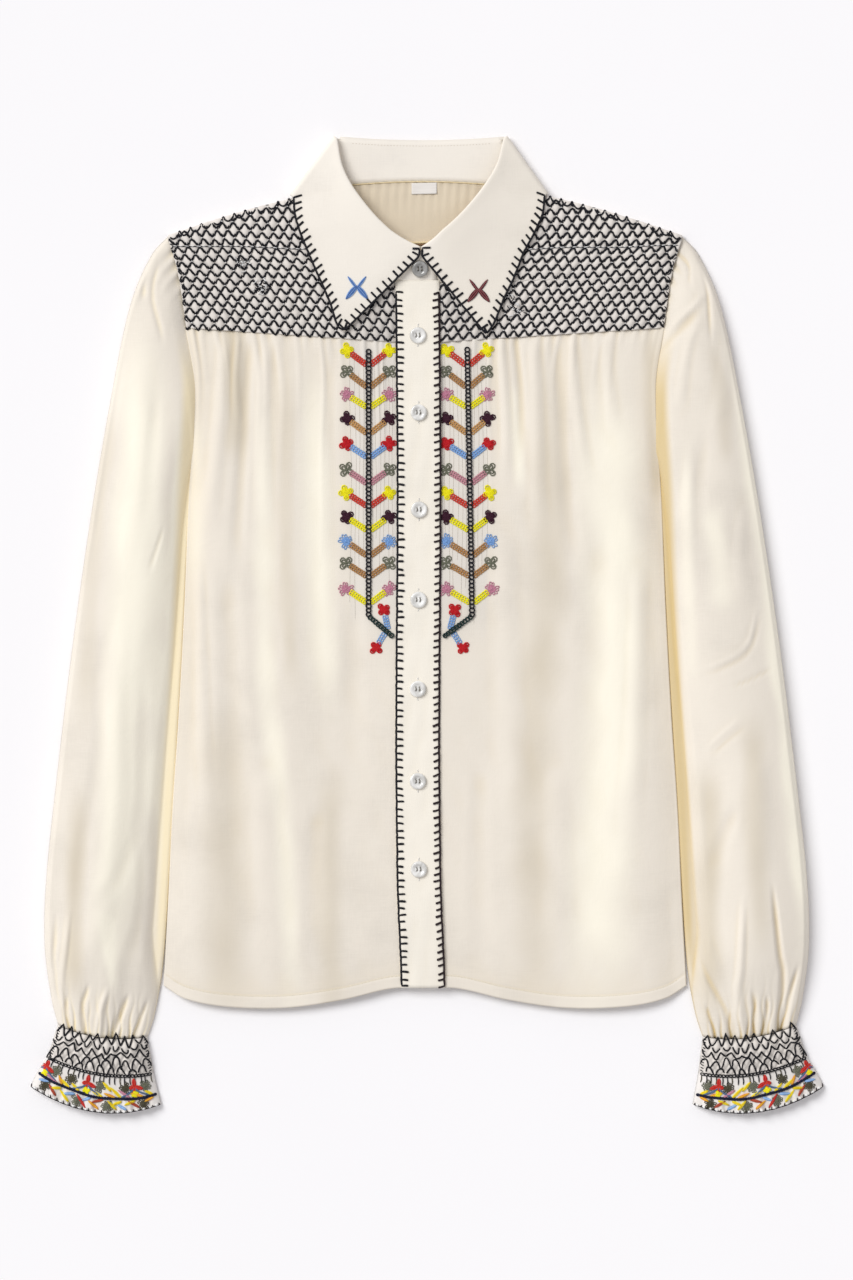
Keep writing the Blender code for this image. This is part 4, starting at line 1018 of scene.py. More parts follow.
def lattice_of(x, y):
    """Where a point of a yoke lies in its smocking: columns in from the armhole, rows up."""
    low, high = lattice_start_y(x, np.sign(x)), seam_line_y(x)
    column = (body_half(y) - 0.3 - np.abs(x)) / SMOCK_STEP_X
    lower = YOKE_FRONT_ROWS * (y - low) / (high - low)
    upper = YOKE_FRONT_ROWS + (y - high) / SMOCK_STEP_Y
    return column, np.where(y < high, lower, upper)


def lattice_place(side, column, row):
    """The point of a yoke at a place in its smocking."""
    y = 540.0
    for _ in range(SETTLING):
        x = float(body_half(y)) - 0.3 - column * SMOCK_STEP_X
        low, high = float(lattice_start_y(x, side)), float(seam_line_y(x))
        y = low + (high - low) * row / YOKE_FRONT_ROWS
        if row > YOKE_FRONT_ROWS:
            y = high + (row - YOKE_FRONT_ROWS) * SMOCK_STEP_Y
    drift = 0.5 * math.sin(column * 0.45 + row * 0.7) + 0.35 * math.sin(column * 0.21 - row * 1.3 + side)
    return side * (x + drift), y + 0.45 * math.sin(column * 0.33 + row * 0.5 + 2 * side)


def puff(column, row):
    """1 in the middle of each diamond of the honeycomb and 0 along its stitches."""
    a, b = (column + row) / 2, (column - row) / 2
    return (np.abs(np.sin(math.pi * a)) * np.abs(np.sin(math.pi * b))) ** 0.6


def yoke_turn(x, y):
    """Rows that carry a yoke from its top edge over the shoulder and down the back."""
    top, lift = body_top(x, y), collar_lift(x, y)
    middle = (top + lift) / 2
    rows = []
    for angle in (72, 50, 28, 5, -20, -45, -70, -90):
        turn = math.radians(angle)
        reach = SHOULDER_EDGE_TOP / 2 * 0.87 * math.cos(turn)
        bulge = PUFF * puff(*lattice_of(x, y + 3 - 3 * math.sin(turn))) * max(0.0, math.sin(turn + 0.5))
        height = middle + (top - middle) * math.sin(turn) + 0.7 * bulge
        rows.append((x, y + reach + 0.4 * bulge, height))
    for share in (0.2, 0.5, 0.8, 1.0):
        narrowing = body_half(y) - body_half(y + 3.0 - BACK_YOKE_DEPTH * share)
        narrowed = x - np.copysign(narrowing * clamp((np.abs(x) - 100) / 90), x)
        down = y + (shoulder_y(narrowed) - BACK_YOKE_DEPTH - y) * share
        rows.append((narrowed, down, collar_lift(narrowed, down) + TUBE_FLOOR_Z))
    return rows


def yoke(side, name):
    up = steps((0, YOKE_SEAM_SHARE, 56), (YOKE_SEAM_SHARE, 1, 26))
    t, up = np.meshgrid(np.linspace(0, 1, 160), up)
    x, y = yoke_plan(side, t, up)
    column, row = lattice_of(x, y)
    off = np.abs(x - placket_x(y))
    beside_placket = ease((off - PLACKET_WIDTH / 2 - 0.5) / 3)
    beside_neck = ease((np.abs(x - NECK_MIDDLE_X) - neck_out(y)) / 3)
    clear = np.where(y < STAND_SEAM_Y, beside_placket, beside_neck)
    z = body_top(x, y) + PUFF * puff(column, row) * (0.2 + 0.8 * clear)
    z = z + 0.3 * rough(x, y, 26, 8) * clear * ease((body_half(y) - np.abs(x)) / 5)
    # Painted shade along the smocking's stitch lines, and painted shadow of the collar leaves beside the
    # placket.
    low = clamp(1 - puff(column, row) * 1.5) * 0.6
    low = low + 0.30 * ease((47 - off) / 12) * ease((546 - y) / 10)
    wrap = yoke_turn(x[-1], y[-1])
    x, y, z = (np.vstack([old] + [part[k] for part in wrap]) for k, old in enumerate((x, y, z)))
    low = np.vstack([low, np.zeros((len(wrap), low.shape[1]))])
    kind = {"node": "yoke_" + name, "slot": "smocked_lawn", "thickness": CLOTH}
    return grid_piece("cloth_yoke_" + name, x, y, z, [smocked], shade=low, deepen=0.0, **kind)


# Placket and button band


def band_piece(node, half, rise, thickness, crown):
    offset = half * np.sin(np.linspace(-math.pi / 2, math.pi / 2, 19))
    offset, up = np.meshgrid(offset, np.linspace(0, 1, 200))
    start = hem_y(offset)
    y = start + (STAND_SEAM_Y + crown * 2.0 - start) * up
    x = placket_x(y) + offset
    near = 1 - ease((half - np.abs(offset)) / 2.5)
    z = body_top(x, y) + rise - 0.9 * crown * near**2
    if crown:
        z = z + 0.22 * rough(offset * 2.2, y, 34, 9) + 0.12 * np.sin(y / 2.9) * near
    kind = {"node": node, "slot": "banded_lawn", "thickness": thickness}
    tone = np.full(x.shape, BAND_TONE)
    return grid_piece("cloth_" + node, x, y, z, [banded], times=6, deepen=0.35, tone=tone, **kind)


# Sleeves and cuffs


def sleeve_plan(side, rows, along, across):
    """A point of a sleeve or cuff seen from above, with its loft: across is 0 beside the body."""
    columns = rows[0]._fields[1:]
    value = {column: along_table(rows, "along", column, along) for column in columns}
    x = value["inner_x"] + (value["outer_x"] - value["inner_x"]) * across
    y = value["inner_y"] + (value["outer_y"] - value["inner_y"]) * across
    y = y - value["bow"] * 4 * across * (1 - across)
    out = across + (1 - across) * along
    if rows is SLEEVE_ROWS:
        head = rows[0]
        seam_y = head.inner_y + (head.outer_y - head.inner_y) * across
        sag = head.inner_x + (head.outer_x - head.inner_x) * across - body_half(seam_y) + SEAM_OVERLAP
        x = x - sag * ease(1 - along / 0.22)
        out = along * across
    if side > 0:
        x = x + LEFT_SLEEVE_OUT * out
    return side * x, y, value["loft"]


def tube_height(loft, width, across, lip, steep):
    """Height of a flattened tube's top: a low lip on the body's side, then a full round."""
    from_body, from_outside = width * across, width * (1 - across)
    body_side = SLEEVE_EDGE_Z + (SLEEVE_LIP_TOP - SLEEVE_EDGE_Z) * swell(from_body / 3)
    risen = from_body - lip
    rise = steep * swell(risen / STEEP_RISE) + (1 - steep) * swell(risen / GENTLE_RISE)
    body_side = body_side + (loft - SLEEVE_LIP_TOP) * rise
    outer_rise = 0.5 * swell(from_outside / 5) + 0.5 * swell(from_outside / GENTLE_RISE)
    outside = SLEEVE_EDGE_Z + (loft - SLEEVE_EDGE_Z) * outer_rise
    return -SLEEVE_BLEND * np.logaddexp(-body_side / SLEEVE_BLEND, -outside / SLEEVE_BLEND)


def tube_piece(name, side, rows, along, across, extra, materials, shading=None, painted_light_of=None, **kind):
    """A flattened tube, open at both ends: its round top, then its flat underside."""
    under = 0.03 + 0.94 * np.linspace(1, 0, 16)[1:-1]
    spread, along = np.meshgrid(np.concatenate([across, under]), along)
    x, y, loft = sleeve_plan(side, rows, along, spread)
    near_x, near_y, _ = sleeve_plan(side, rows, along, np.zeros_like(spread))
    far_x, far_y, _ = sleeve_plan(side, rows, along, np.ones_like(spread))
    width = np.hypot(far_x - near_x, far_y - near_y)
    lip, steep = 0.0, CUFF_STEEP
    if rows is SLEEVE_ROWS:
        steep = SLEEVE_STEEP[side]
        lip = SLEEVE_LIP * ease(along / 0.06) * ease((0.96 - along) / 0.14)
    soft = ease((width * spread - lip) / 12) * ease(width * (1 - spread) / 12)
    z = tube_height(loft, width, spread, lip, steep) + soft * extra(along, spread, x, y)
    z = np.maximum(z, SLEEVE_EDGE_Z)
    z[:, len(across) :] = TUBE_FLOOR_Z
    shade = None
    if shading:
        shade = shading(along, spread, x, y)
        shade[:, len(across) :] = 0.0
    tone = painted_light_of(x, y) if painted_light_of else None
    return grid_piece(name, x, y, z, materials, closed=True, shade=shade, tone=tone, **kind)


def fold_lines(folds, x, y):
    """Soft ridges and troughs, each along its own line. Those that end in the cuff stay sharp there."""
    total = np.zeros(x.shape)
    for fold in folds:
        path = ease_between(fold.points, 14)
        nearest, share = near_line(path, x, y)
        in_cuff = path[-1][1] < CUFF_TOP_Y
        fade = ease(share / 0.3) * (1.0 if in_cuff else ease((1 - share) / 0.3))
        gain = 1.8 if in_cuff else 1.25
        total += gain * fold.height * fade * ridge(nearest, fold.half * (0.75 + 0.5 * share))
    return total


# What differs between the sleeves; dip is how deep the cloth sinks beside the body below the armhole; the
# right sleeve's material paints a paler shade in its hollows.
SleeveLook = namedtuple("SleeveLook", "folds tones dip luck material")


def sleeve(side, name):
    if side < 0:
        look = SleeveLook(RIGHT_SLEEVE_FOLDS, RIGHT_SLEEVE_PAINTED_LIGHT, 0.9, 21, pale_shade_lawn)
    else:
        look = SleeveLook(LEFT_SLEEVE_FOLDS, LEFT_SLEEVE_PAINTED_LIGHT, 2.2, 22, lawn)
    luck = random.Random(look.luck)
    tucks = []
    for k in range(SLEEVE_TUCKS):
        at = 0.07 + 0.86 * (k + luck.uniform(-0.25, 0.25)) / (SLEEVE_TUCKS - 1)
        tucks.append((at, luck.uniform(0.7, 1.2)))

    def drift(along, at):
        return 0.012 * np.sin((1 - along) * 130 + at * 50)

    def extra(along, across, x, y):
        height = fold_lines(look.folds, np.abs(x), y)
        beside_body = ridge(np.abs(x) - body_half(y) - 4, 9)
        height -= look.dip * beside_body * ease((485 - y) / 50) * ease((y - 380) / 60)
        cuffward = np.exp(-(((1 - along) / 0.034) ** 1.5))
        for at, tall in tucks:
            height -= 1.7 * tall * cuffward * ridge(across - at - drift(along, at), 0.024)
        for gather in HEAD_GATHERS:
            fade = np.exp(-((along / gather.length) ** 1.5))
            height += gather.height * fade * ridge(across - gather.at, gather.half)
        small, wide = rough(x, y * 0.6, 38, 40 + side), rough(x, y * 0.5, 80, 50 + side)
        return height + 0.25 * small + 0.5 * wide

    # Painted warm shade in the valley beside the body and in the tucks by the cuff, and none at the outer
    # edge.
    def shade(along, across, x, y):
        strip = ease((12.5 - np.abs(x) + body_half(y)) / 7) * ease((512 - y) / 60) * ease((y + 10) / 80)
        cuffward = np.exp(-(((1 - along) / 0.03) ** 1.5))
        tucked = sum(0.55 * tall * ridge(across - at - drift(along, at), 0.017) for at, tall in tucks)
        return 0.90 * strip + cuffward * tucked - ease(1 - (1 - across) / 0.05)

    # Broad bands of painted light and painted shade.
    def tone(x, y):
        return painted_light_lines(look.tones, np.abs(x), y)

    along = steps((0, 0.12, 26), (0.12, 0.40, 44), (0.40, 0.72, 84), (0.72, 1, 70))
    shape = (side, SLEEVE_ROWS, along, np.linspace(0, 1, 104), extra)
    kind = {"node": "sleeve_" + name, "slot": "cream_lawn", "thickness": CLOTH}
    return tube_piece("cloth_sleeve_" + name, *shape, [look.material], shade, tone, **kind)


def cuff_lattice(across, along):
    return across * CUFF_COLUMNS, (1 - along / CUFF_SMOCK_END) * CUFF_ROWS_UP


def cuff(side, name):
    def extra(along, across, *_):
        column, row = cuff_lattice(across, along)
        flare = ease((along - CUFF_SMOCK_END) / (1 - CUFF_SMOCK_END))
        smocking = PUFF * puff(column, row) * ease((CUFF_SMOCK_END + 0.02 - along) / 0.04)
        smocking = smocking - 1.5 * np.exp(-((along / 0.035) ** 2))
        wave = np.sin(across * 2 * math.pi * 8.5 + 1.3 * side + 2 * np.sin(across * 9))
        fine = np.sin(across * 2 * math.pi * 23 + side)
        return smocking + flare * (1.1 * wave + 0.35 * fine) + 0.5 * flare

    # Painted shade along the smocking's stitch lines, between the puffs.
    def shade(along, across, *_):
        column, row = cuff_lattice(across, along)
        return np.where(along < CUFF_SMOCK_END, clamp(1 - puff(column, row) * 1.5) * 0.5, 0.0)

    smocked_rows = 33
    along = steps((0, CUFF_SMOCK_END, smocked_rows + 1), (CUFF_SMOCK_END, 1, 26))
    shape = (side, CUFF_ROWS, along, np.linspace(0, 1, 128), extra)
    kind = {"node": "cuff_" + name, "slot": "smocked_lawn", "thickness": CLOTH}
    piece = tube_piece("cloth_cuff_" + name, *shape, [smocked, ruffled], shade, **kind)
    faces = len(piece.data.polygons)
    per_row = faces // (len(along) - 1)
    index = [0 if k < smocked_rows * per_row else 1 for k in range(faces)]
    piece.data.polygons.foreach_set("material_index", index)
    return piece


# Collar


def collar_value(column, at):
    return along_table(COLLAR_ROWS, "at", column, at)


def roll_out(side, at):
    """How far the roll line lies from the neck's middle: the neck opens a little to the right."""
    right = np.interp(at, (0, 0.28, 1), (0.85, 4.8, 4.4))
    left = np.interp(at, (0, 0.28, 0.7, 1), (-1.25, -4.2, -1.8, 1.5))
    return collar_value("roll_out", at) + (right if side < 0 else left)


def leaf_rows(side, at, share):
    """The fall from its roll line out to its edge; shares below 0 stay at the roll line."""
    name = "right" if side < 0 else "left"
    roll_x, roll_y = NECK_MIDDLE_X + side * roll_out(side, at), collar_value("roll_y", at)
    edge_x = NECK_MIDDLE_X + side * collar_value(name + "_out", at)
    edge_y = collar_value(name + "_y", at)
    flat = clamp(share)
    bend = 0.095 * ease(1 - at / 0.10)
    x = roll_x + (edge_x - roll_x) * clamp((flat - bend) / (1 - bend))
    y = roll_y + (edge_y - roll_y) * flat
    rest = body_top(x, y) + COLLAR_REST
    z = rest + (collar_value("roll_z", at) - 0.4 - rest) * (1 - flat) ** 1.6
    z = z + COLLAR_TIP_LIFT * (1 - at) ** 3 * flat**2
    z = z + 0.35 * rough(x, y, 46, 13 + side) * ease(flat / 0.2) * ease((1 - flat) / 0.1)
    return x, y, z


def turned_over(x, y, z, sign):
    """Adds the roll at the inner edge of rows of the fall: in over the neck and down."""
    inward_x, inward_y = x[:, :1] - x[:, 1:2], y[:, :1] - y[:, 1:2]
    size = np.hypot(inward_x, inward_y)
    parts = []
    for out, drop in ((0.7, 2.6), (1.1, 1.5), (0.9, 0.6), (0.5, 0.15)):
        place = (x[:, :1] + inward_x / size * out, y[:, :1] + inward_y / size * out)
        parts.append((*place, z[:, :1] - sign * drop))
    return [np.hstack([part[k] for part in parts] + [old]) for k, old in enumerate((x, y, z))]


def back_roll_y(out):
    return STAND_TOP_BACK_Y + 2.6 * (out / 60) ** 2


def collar():
    share = np.linspace(0, 1, 30)[None, :]
    halves = []
    for side in (-1, 1):
        at = np.linspace(0, 1, 46)[:, None]
        x, y, z = leaf_rows(side, at, share)
        front = turned_over(x, y, z, 1)
        last = [part[-1:] for part in (x, y, z)]
        folded = [front]
        for angle in np.linspace(70, -90, 9):
            turn = math.radians(angle)
            middle, rise = (last[2] + 0.5) / 2, (last[2] - 0.5) / 2
            out = COLLAR_FOLD_OUT * math.cos(turn)
            row = (last[0] + side * 0.77 * out, last[1] + 0.63 * out, middle + rise * math.sin(turn))
            folded.append(turned_over(*row, math.sin(turn)))
        halves.append([np.vstack([part[k] for part in folded]) for k in range(3)])
    out = np.linspace(-52, 52, 15)[:, None]
    top_y, low_y = back_roll_y(out) - 1.2, COLLAR_BACK_Y + 4 * (out / 60) ** 2
    x = NECK_MIDDLE_X + out * (1 + 0.5 * share)
    y = top_y + (low_y - top_y) * share
    back = turned_over(x, y, np.full(x.shape, 0.5), -0.4)
    x, y, z = (np.vstack([halves[0][k], back[k], halves[1][k][::-1]]) for k in range(3))
    kind = {"node": "collar", "slot": "banded_lawn", "thickness": 0.9, "offset": 0.0}
    # Painted light and shade: the right leaf a little lighter, the left darker, away from the light.
    tone = 0.04 - 0.20 * ease((x - NECK_MIDDLE_X) / 20)
    return grid_piece("cloth_collar", x, y, z, [banded], times=4, deepen=0.2, tone=tone, **kind)


def stand_column(start, end):
    share = np.linspace(0, 1, 9)[:, None]
    row = start + (end - start) * share
    row[:, 2] = start[2] + (end[2] - start[2]) * share[:, 0] ** 1.3
    return row


def stand_row(side, at):
    """One row up the stand, from the neck seam to the roll of the collar."""
    y = STAND_SEAM_Y + 0.4 + (NECK_SIDE_Y + 1.2 - STAND_SEAM_Y - 0.4) * at
    slope = float(neck_out(y + 1) - neck_out(y - 1)) / 2
    inward = np.array((-side, slope)) / math.hypot(1, slope)
    x = NECK_MIDDLE_X + side * float(neck_out(y)) + inward[0]
    y += inward[1] * float(ease(at / 0.1))
    lap = STAND_LAP * float(ease(1 - at / 0.3))
    lift = lap if side < 0 else 0.0
    start = np.array((x, y, float(body_top(x, y)) - 0.5 + lift))
    top_x = NECK_MIDDLE_X + side * (float(roll_out(side, at)) - 0.4)
    top_y = float(collar_value("roll_y", at)) - 1.2
    top_z = float(collar_value("roll_z", at)) - 1.9 - lap + lift
    return stand_column(start, np.array((top_x, top_y, top_z)))


def stand_lap_end(side):
    """The free end of the stand at the throat."""
    seam_reach, top_reach = (14.5, 12.5) if side < 0 else (-5.0, -5.0)
    row = stand_row(side, 0).copy()
    share = clamp((row[:, 1] - STAND_SEAM_Y) / (COLLAR_ROWS[0].roll_y - STAND_SEAM_Y))
    row[:, 0] = float(placket_x(STAND_SEAM_Y)) + seam_reach + (top_reach - seam_reach) * share
    return row


def collar_stand():
    halves = []
    for side in (-1, 1):
        end, first = stand_lap_end(side), stand_row(side, 0)
        rows = [end + (first - end) * t for t in np.linspace(0, 1, 7)[:-1]]
        rows += [stand_row(side, at) for at in np.linspace(0, 1, 34)]
        last = rows[-1]
        for angle in (60, 35, 5, -25, -55, -80):
            turn = math.radians(angle)
            row = last.copy()
            middle, rise = (row[:, 2] + BACK_STAND_Z) / 2, (row[:, 2] - BACK_STAND_Z) / 2
            row[:, 0] += side * 0.95 * math.cos(turn)
            row[:, 1] += 0.3 * math.cos(turn)
            row[:, 2] = middle + rise * math.sin(turn)
            row[0, 1] += 1.5 * (1 - math.sin(turn))
            rows.append(row)
        halves.append(rows)
    back = []
    for out in np.linspace(-68, 68, 27):
        start = np.array((NECK_MIDDLE_X + out, back_neck_y(out) + 0.5, BACK_STAND_Z))
        end = np.array((NECK_MIDDLE_X + out * 0.9, back_roll_y(out * 0.9) + 2.0, BACK_STAND_Z))
        back.append(stand_column(start, end))
    points = np.array(halves[0] + back + halves[1][::-1])
    x, y, z = points[..., 0], points[..., 1], points[..., 2]
    kind = {"node": "collar_stand", "slot": "banded_lawn", "thickness": 0.8, "offset": 0.0}
    return grid_piece("cloth_collar_stand", x, y, z, [banded], times=2, deepen=0.1, **kind)


# Buttons and label


def button_places():
    """Middle and tilt of each button."""
    slope = stand_row(-1, 0)
    low, high = slope[0], slope[6]
    share = (COLLAR_BUTTON_Y - low[1]) / (high[1] - low[1])
    tilt = math.atan2(high[2] - low[2], high[1] - low[1])
    z = low[2] + (high[2] - low[2]) * share + 0.9
    places = [(float(placket_x(STAND_SEAM_Y)) + 2.0, COLLAR_BUTTON_Y, z, tilt)]
    for y in FRONT_BUTTON_YS:
        x = float(placket_x(y))
        places.append((x, y, float(body_top(x, y)) + 2.0, 0.0))
    return places


def button_profile(x, y):
    """Height of a button's face: a rounded rim, a shallow dish and four holes."""
    out = np.hypot(x, y) / BUTTON_RADIUS
    rim = BUTTON_HEIGHT * np.sqrt(clamp(1 - clamp((out - 0.80) / 0.20) ** 2))
    height = rim - 0.75 * (1 - ease((out - 0.42) / 0.26))
    for a in (-1, 1):
        for b in (-1, 1):
            hole = np.hypot(x - a * HOLE_OFFSET, y - b * HOLE_OFFSET)
            height = height - 1.1 * ease(1 - (hole - 0.45) / 0.35)
    return np.maximum(height, 0.15)


def tilted(y, z, tilt):
    """Turns a point's y and z about the line across."""
    return y * math.cos(tilt) - z * math.sin(tilt), y * math.sin(tilt) + z * math.cos(tilt)


def button(number, place):
    x0, y0, z0, tilt = place
    turn = np.linspace(0, 2 * math.pi, 57)[:-1]
    out = np.array(BUTTON_RINGS)
    x, y = out[:, None] * np.cos(turn), out[:, None] * np.sin(turn)
    z = button_profile(x, y)
    x, y = np.vstack([x, x[-1:] * 0.97, x[:1]]), np.vstack([y, y[-1:] * 0.97, y[:1]])
    z = np.vstack([z, np.zeros((2, len(turn)))])
    y, z = tilted(y, z, tilt)
    name = "button_" + str(number)
    # The collar button takes the shell with painted shade.
    shell = shaded_pearl if number == 1 else pearl
    kind = {"node": name, "slot": "button_shell", "closed": True}
    return grid_piece("pearl_" + name, x0 + x, y0 + y, z0 + z, [shell], **kind)


def label():
    across, down = np.meshgrid(np.linspace(-0.5, 0.5, 22), np.linspace(0, 1, 12))
    x, y = across * LABEL_WIDTH - 0.6, LABEL_TOP_Y - LABEL_DEPTH * down + across * 0.5
    z = LABEL_Z + 0.25 * np.sin(across * 5) * down + 0.3 * down**2
    kind = {"node": "label", "slot": "label_tape", "thickness": 0.3}
    return grid_piece("label_blank", x, y, z, [tape_material()], **kind)


cloth = {}
for cloth_side, cloth_name in SIDES:
    cloth["front_" + cloth_name] = front_panel(cloth_side, cloth_name)
    cloth["yoke_" + cloth_name] = yoke(cloth_side, cloth_name)
    cloth["sleeve_" + cloth_name] = sleeve(cloth_side, cloth_name)
    cloth["cuff_" + cloth_name] = cuff(cloth_side, cloth_name)
cloth["back"] = back_panel()
cloth["placket"] = band_piece("placket", PLACKET_WIDTH / 2, rise=1.9, thickness=0.9, crown=1.0)
cloth["button_band"] = band_piece("button_band", BUTTON_BAND_HALF, rise=0.0, thickness=CLOTH, crown=0.0)
cloth["collar"] = collar()
cloth["collar_stand"] = collar_stand()
cloth["label"] = label()
spots = button_places()
for order, spot in enumerate(spots, 1):
    button(order, spot)


# Stitches


def even_steps(path, spacing):
    """Points at even steps along a path, with the direction there."""
    path = np.asarray(path, float)
    length = np.concatenate([[0], np.cumsum(np.linalg.norm(np.diff(path, axis=0), axis=1))])
    count = max(2, int(round(length[-1] / spacing)) + 1)
    at = np.linspace(0, length[-1], count)
    points = np.stack([np.interp(at, length, path[:, k]) for k in range(2)], axis=1)
    heading = np.gradient(points, axis=0)
    heading /= np.maximum(np.linalg.norm(heading, axis=1, keepdims=True), 1e-9)
    return points, heading


def turned(vector, angle):
    c, s = math.cos(angle), math.sin(angle)
    return np.array((vector[0] * c - vector[1] * s, vector[0] * s + vector[1] * c))


def left_of(way):
    return np.array((-way[1], way[0]))


def toward(angle):
    return np.array((math.cos(angle), math.sin(angle)))


def zigzag(yarn, tree, place, row, columns, keep, radius, wobble):
    """One zigzag of smocking thread between two rows of a lattice, its tops rounder than its points."""
    path = []
    for i in range(columns + 1):
        low = (i + row) % 2 == 0
        here = row + (0 if low else 1)
        round_off = POINT_ROUNDING if low else TOP_ROUNDING
        sign = 1 if low else -1
        lean, lift = dice.uniform(-wobble, wobble), dice.uniform(-wobble, wobble)
        for step in (-2, -1, 0, 1, 2):
            shift = step * round_off
            pull = round_off * {0: 0.15, 1: 0.6, 2: 2.0}[abs(step)]
            path.append((i + shift + lean * 0.5, here + sign * (pull + 0.11) + 0.5 * lift))
    runs, run = [], []
    for column, up in path:
        spot = place(column, up)
        if keep(*spot):
            run.append(spot)
        elif run:
            runs.append(run)
            run = []
    runs.append(run)
    for run in runs:
        points = lay(tree, run, THREAD_LIFT)
        if len(points) > 2:
            thick = radius * (1 + 0.14 * np.sin(np.arange(len(points)) * 1.7 + row))
            yarn.strand(points, thick, "black")


def smock_yoke(yarn, dots, side, tree):
    """A yoke's smocking: zigzags, turns at the armhole, white dots painted as highlights where the cloth
    gathers, tangles and the shoulder's cups.
    """

    def place(column, up):
        return lattice_place(side, column, up)

    def keep(x, y):
        inside = y < float(shoulder_y(x)) - 1.2
        if y < STAND_SEAM_Y:
            return inside and abs(x - float(placket_x(y))) > PLACKET_WIDTH / 2 - 0.8
        return inside and abs(x - NECK_MIDDLE_X) > float(neck_out(y)) + 1

    for row in range(YOKE_FRONT_ROWS):
        zigzag(yarn, tree, place, row, SMOCK_COLUMNS, keep, radius=0.83, wobble=0.12)
    for row in range(YOKE_FRONT_ROWS, YOKE_FRONT_ROWS + 7):
        zigzag(yarn, tree, place, row, SMOCK_TOP_COLUMNS, keep, radius=0.88, wobble=0.13)
    chance, radius = (0.85, 0.6) if side < 0 else (0.5, 0.42)
    for row in range(YOKE_FRONT_ROWS + 1):
        if dice.random() < chance:
            bend = place(-0.1 + dice.uniform(-0.1, 0.1), row + 0.5)
            turn_back = [place(0.35, row + 0.1), bend, place(0.4, row + 0.95)]
            yarn.sew(tree, ease_between(turn_back, 7), THREAD_LIFT, radius, "black")
    # White dots at the smocked points: painted highlights where the gathered cloth catches the light.
    for column in range(SMOCK_COLUMNS):
        for row in range(1, YOKE_FRONT_ROWS + 6):
            if (column + row) % 2:
                continue
            x, y = place(column + dice.uniform(-0.1, 0.1), row)
            if keep(x, y) and dice.random() < 0.8:
                size = dice.uniform(0.4, 0.8)
                dots.sew(tree, [(x - size, y), (x, y), (x + size, y)], 1.0, 0.45, "white", sides=4)
    for k in range(13):
        cup = []
        for t in np.linspace(-1, 1, 9):
            x = side * (188.0 - 8.2 * k - 4.1 * t)
            sag = 4.4 * (1 - abs(t) ** 2.2)
            cup.append((x, float(shoulder_y(x)) + 0.1 - sag + dice.uniform(-0.15, 0.15)))
        if abs(cup[-1][0] - NECK_MIDDLE_X) > 84:
            yarn.sew(tree, cup, THREAD_LIFT, 0.72, "black")
            x, y = cup[0]
            yarn.sew(tree, [(x - 1.0, y - 0.5), (x, y), (x + 1.0, y - 0.5)], 0.5, 0.9, "black")
    seam = [place(column, YOKE_FRONT_ROWS) for column in np.linspace(0.2, 34, 90)]
    yarn.sew(tree, [spot for spot in seam if keep(*spot)], 0.5, 0.42, "black")
    for x, y in TANGLES[side]:
        for k in range(26):
            a = np.array((x, y)) + [dice.gauss(0, 3.6), dice.gauss(0, 2.6)]
            b = a + [dice.uniform(-3, 3), dice.uniform(-3, 3)]
            c = b + [dice.uniform(-2, 2), dice.uniform(-2, 2)]
            yarn_of, colour = (yarn, "black") if k % 2 else (dots, "white")
            yarn_of.sew(tree, ease_between([a, b, c], 6), 0.9, 0.36, colour, sides=4)
    for column in np.arange(0.5, 36, 1.0):
        a, b = (np.array(place(start, YOKE_FRONT_ROWS + 0.03)) for start in (column, column + 0.62))
        if keep(*a) and keep(*b):
            dots.sew(tree, [a, (a + b) / 2, b], 1.1, 0.42, "white", sides=4)


def blanket(yarn, tree, path, inward, spacing, length, lean, colour, curl=0.0, lift=0.3):
    """Blanket stitch: a heavy line along an edge, with ticks in from it."""
    points, heading = even_steps(path, spacing)
    fine, _ = even_steps(path, 1.6)
    ripple = fine + np.random.default_rng(3).normal(0, 0.10, fine.shape)
    yarn.strand(lay(tree, ripple, lift), 0.78, colour, sides=6)
    for k in range(len(points)):
        normal = left_of(heading[k]) * inward
        way = turned(normal, lean + dice.uniform(-0.12, 0.12))
        start = points[k] + heading[k] * dice.uniform(-0.5, 0.5)
        reach = length * dice.uniform(0.86, 1.12)
        stops = [start + way * reach * t + curl * heading[k] * t**3 for t in (0, 0.33, 0.66, 0.88, 1.0)]
        laid = lay(tree, stops, lift)
        if len(laid) > 2:
            yarn.strand(laid, 0.90 * dice.uniform(0.88, 1.1), colour, taper=0.8)


def chain(yarn, tree, path, width, link, radius, colour, lift=0.35, sides=5):
    """Chain stitch: a row of loops, each caught by the next."""
    points, heading = even_steps(path, link)
    for point, way in zip(points[:-1], heading):
        size = width * dice.uniform(0.88, 1.08)
        loop = []
        for turn in np.linspace(0, 2 * math.pi, 9):
            along = link * 0.62 * (1 - math.cos(turn))
            loop.append(point + way * along + left_of(way) * size / 2 * math.sin(turn))
        laid = lay(tree, loop, lift)
        if len(laid) > 4:
            laid[:, 2] += 0.25 * np.sin(np.linspace(0, math.pi, len(laid)))
            yarn.strand(laid, radius, colour, sides=sides, taper=0.9)


def braid(yarn, tree, start, end, width, radius, colour):
    """Two rows of chain side by side."""
    start, end = np.array(start, float), np.array(end, float)
    across = left_of((end - start) / np.linalg.norm(end - start)) * width / 4
    for sign in (-1, 1):
        row = [start + across * sign, end + across * sign]
        chain(yarn, tree, row, width * 0.56, 2.1, radius, colour, lift=0.32, sides=4)


def loop_petal(yarn, tree, middle, angle, length, width, radius, colour, lift):
    way = toward(angle)
    across = left_of(way)
    loop = []
    for turn in np.linspace(0, 2 * math.pi, 10):
        along = length * 0.5 * (1 - math.cos(turn))
        swing = width / 2 * math.sin(turn) * (0.6 + 0.5 * along / length)
        loop.append(middle + way * along + across * swing)
    yarn.sew(tree, loop, lift, radius, colour, fewest=5, sides=4, taper=0.9)


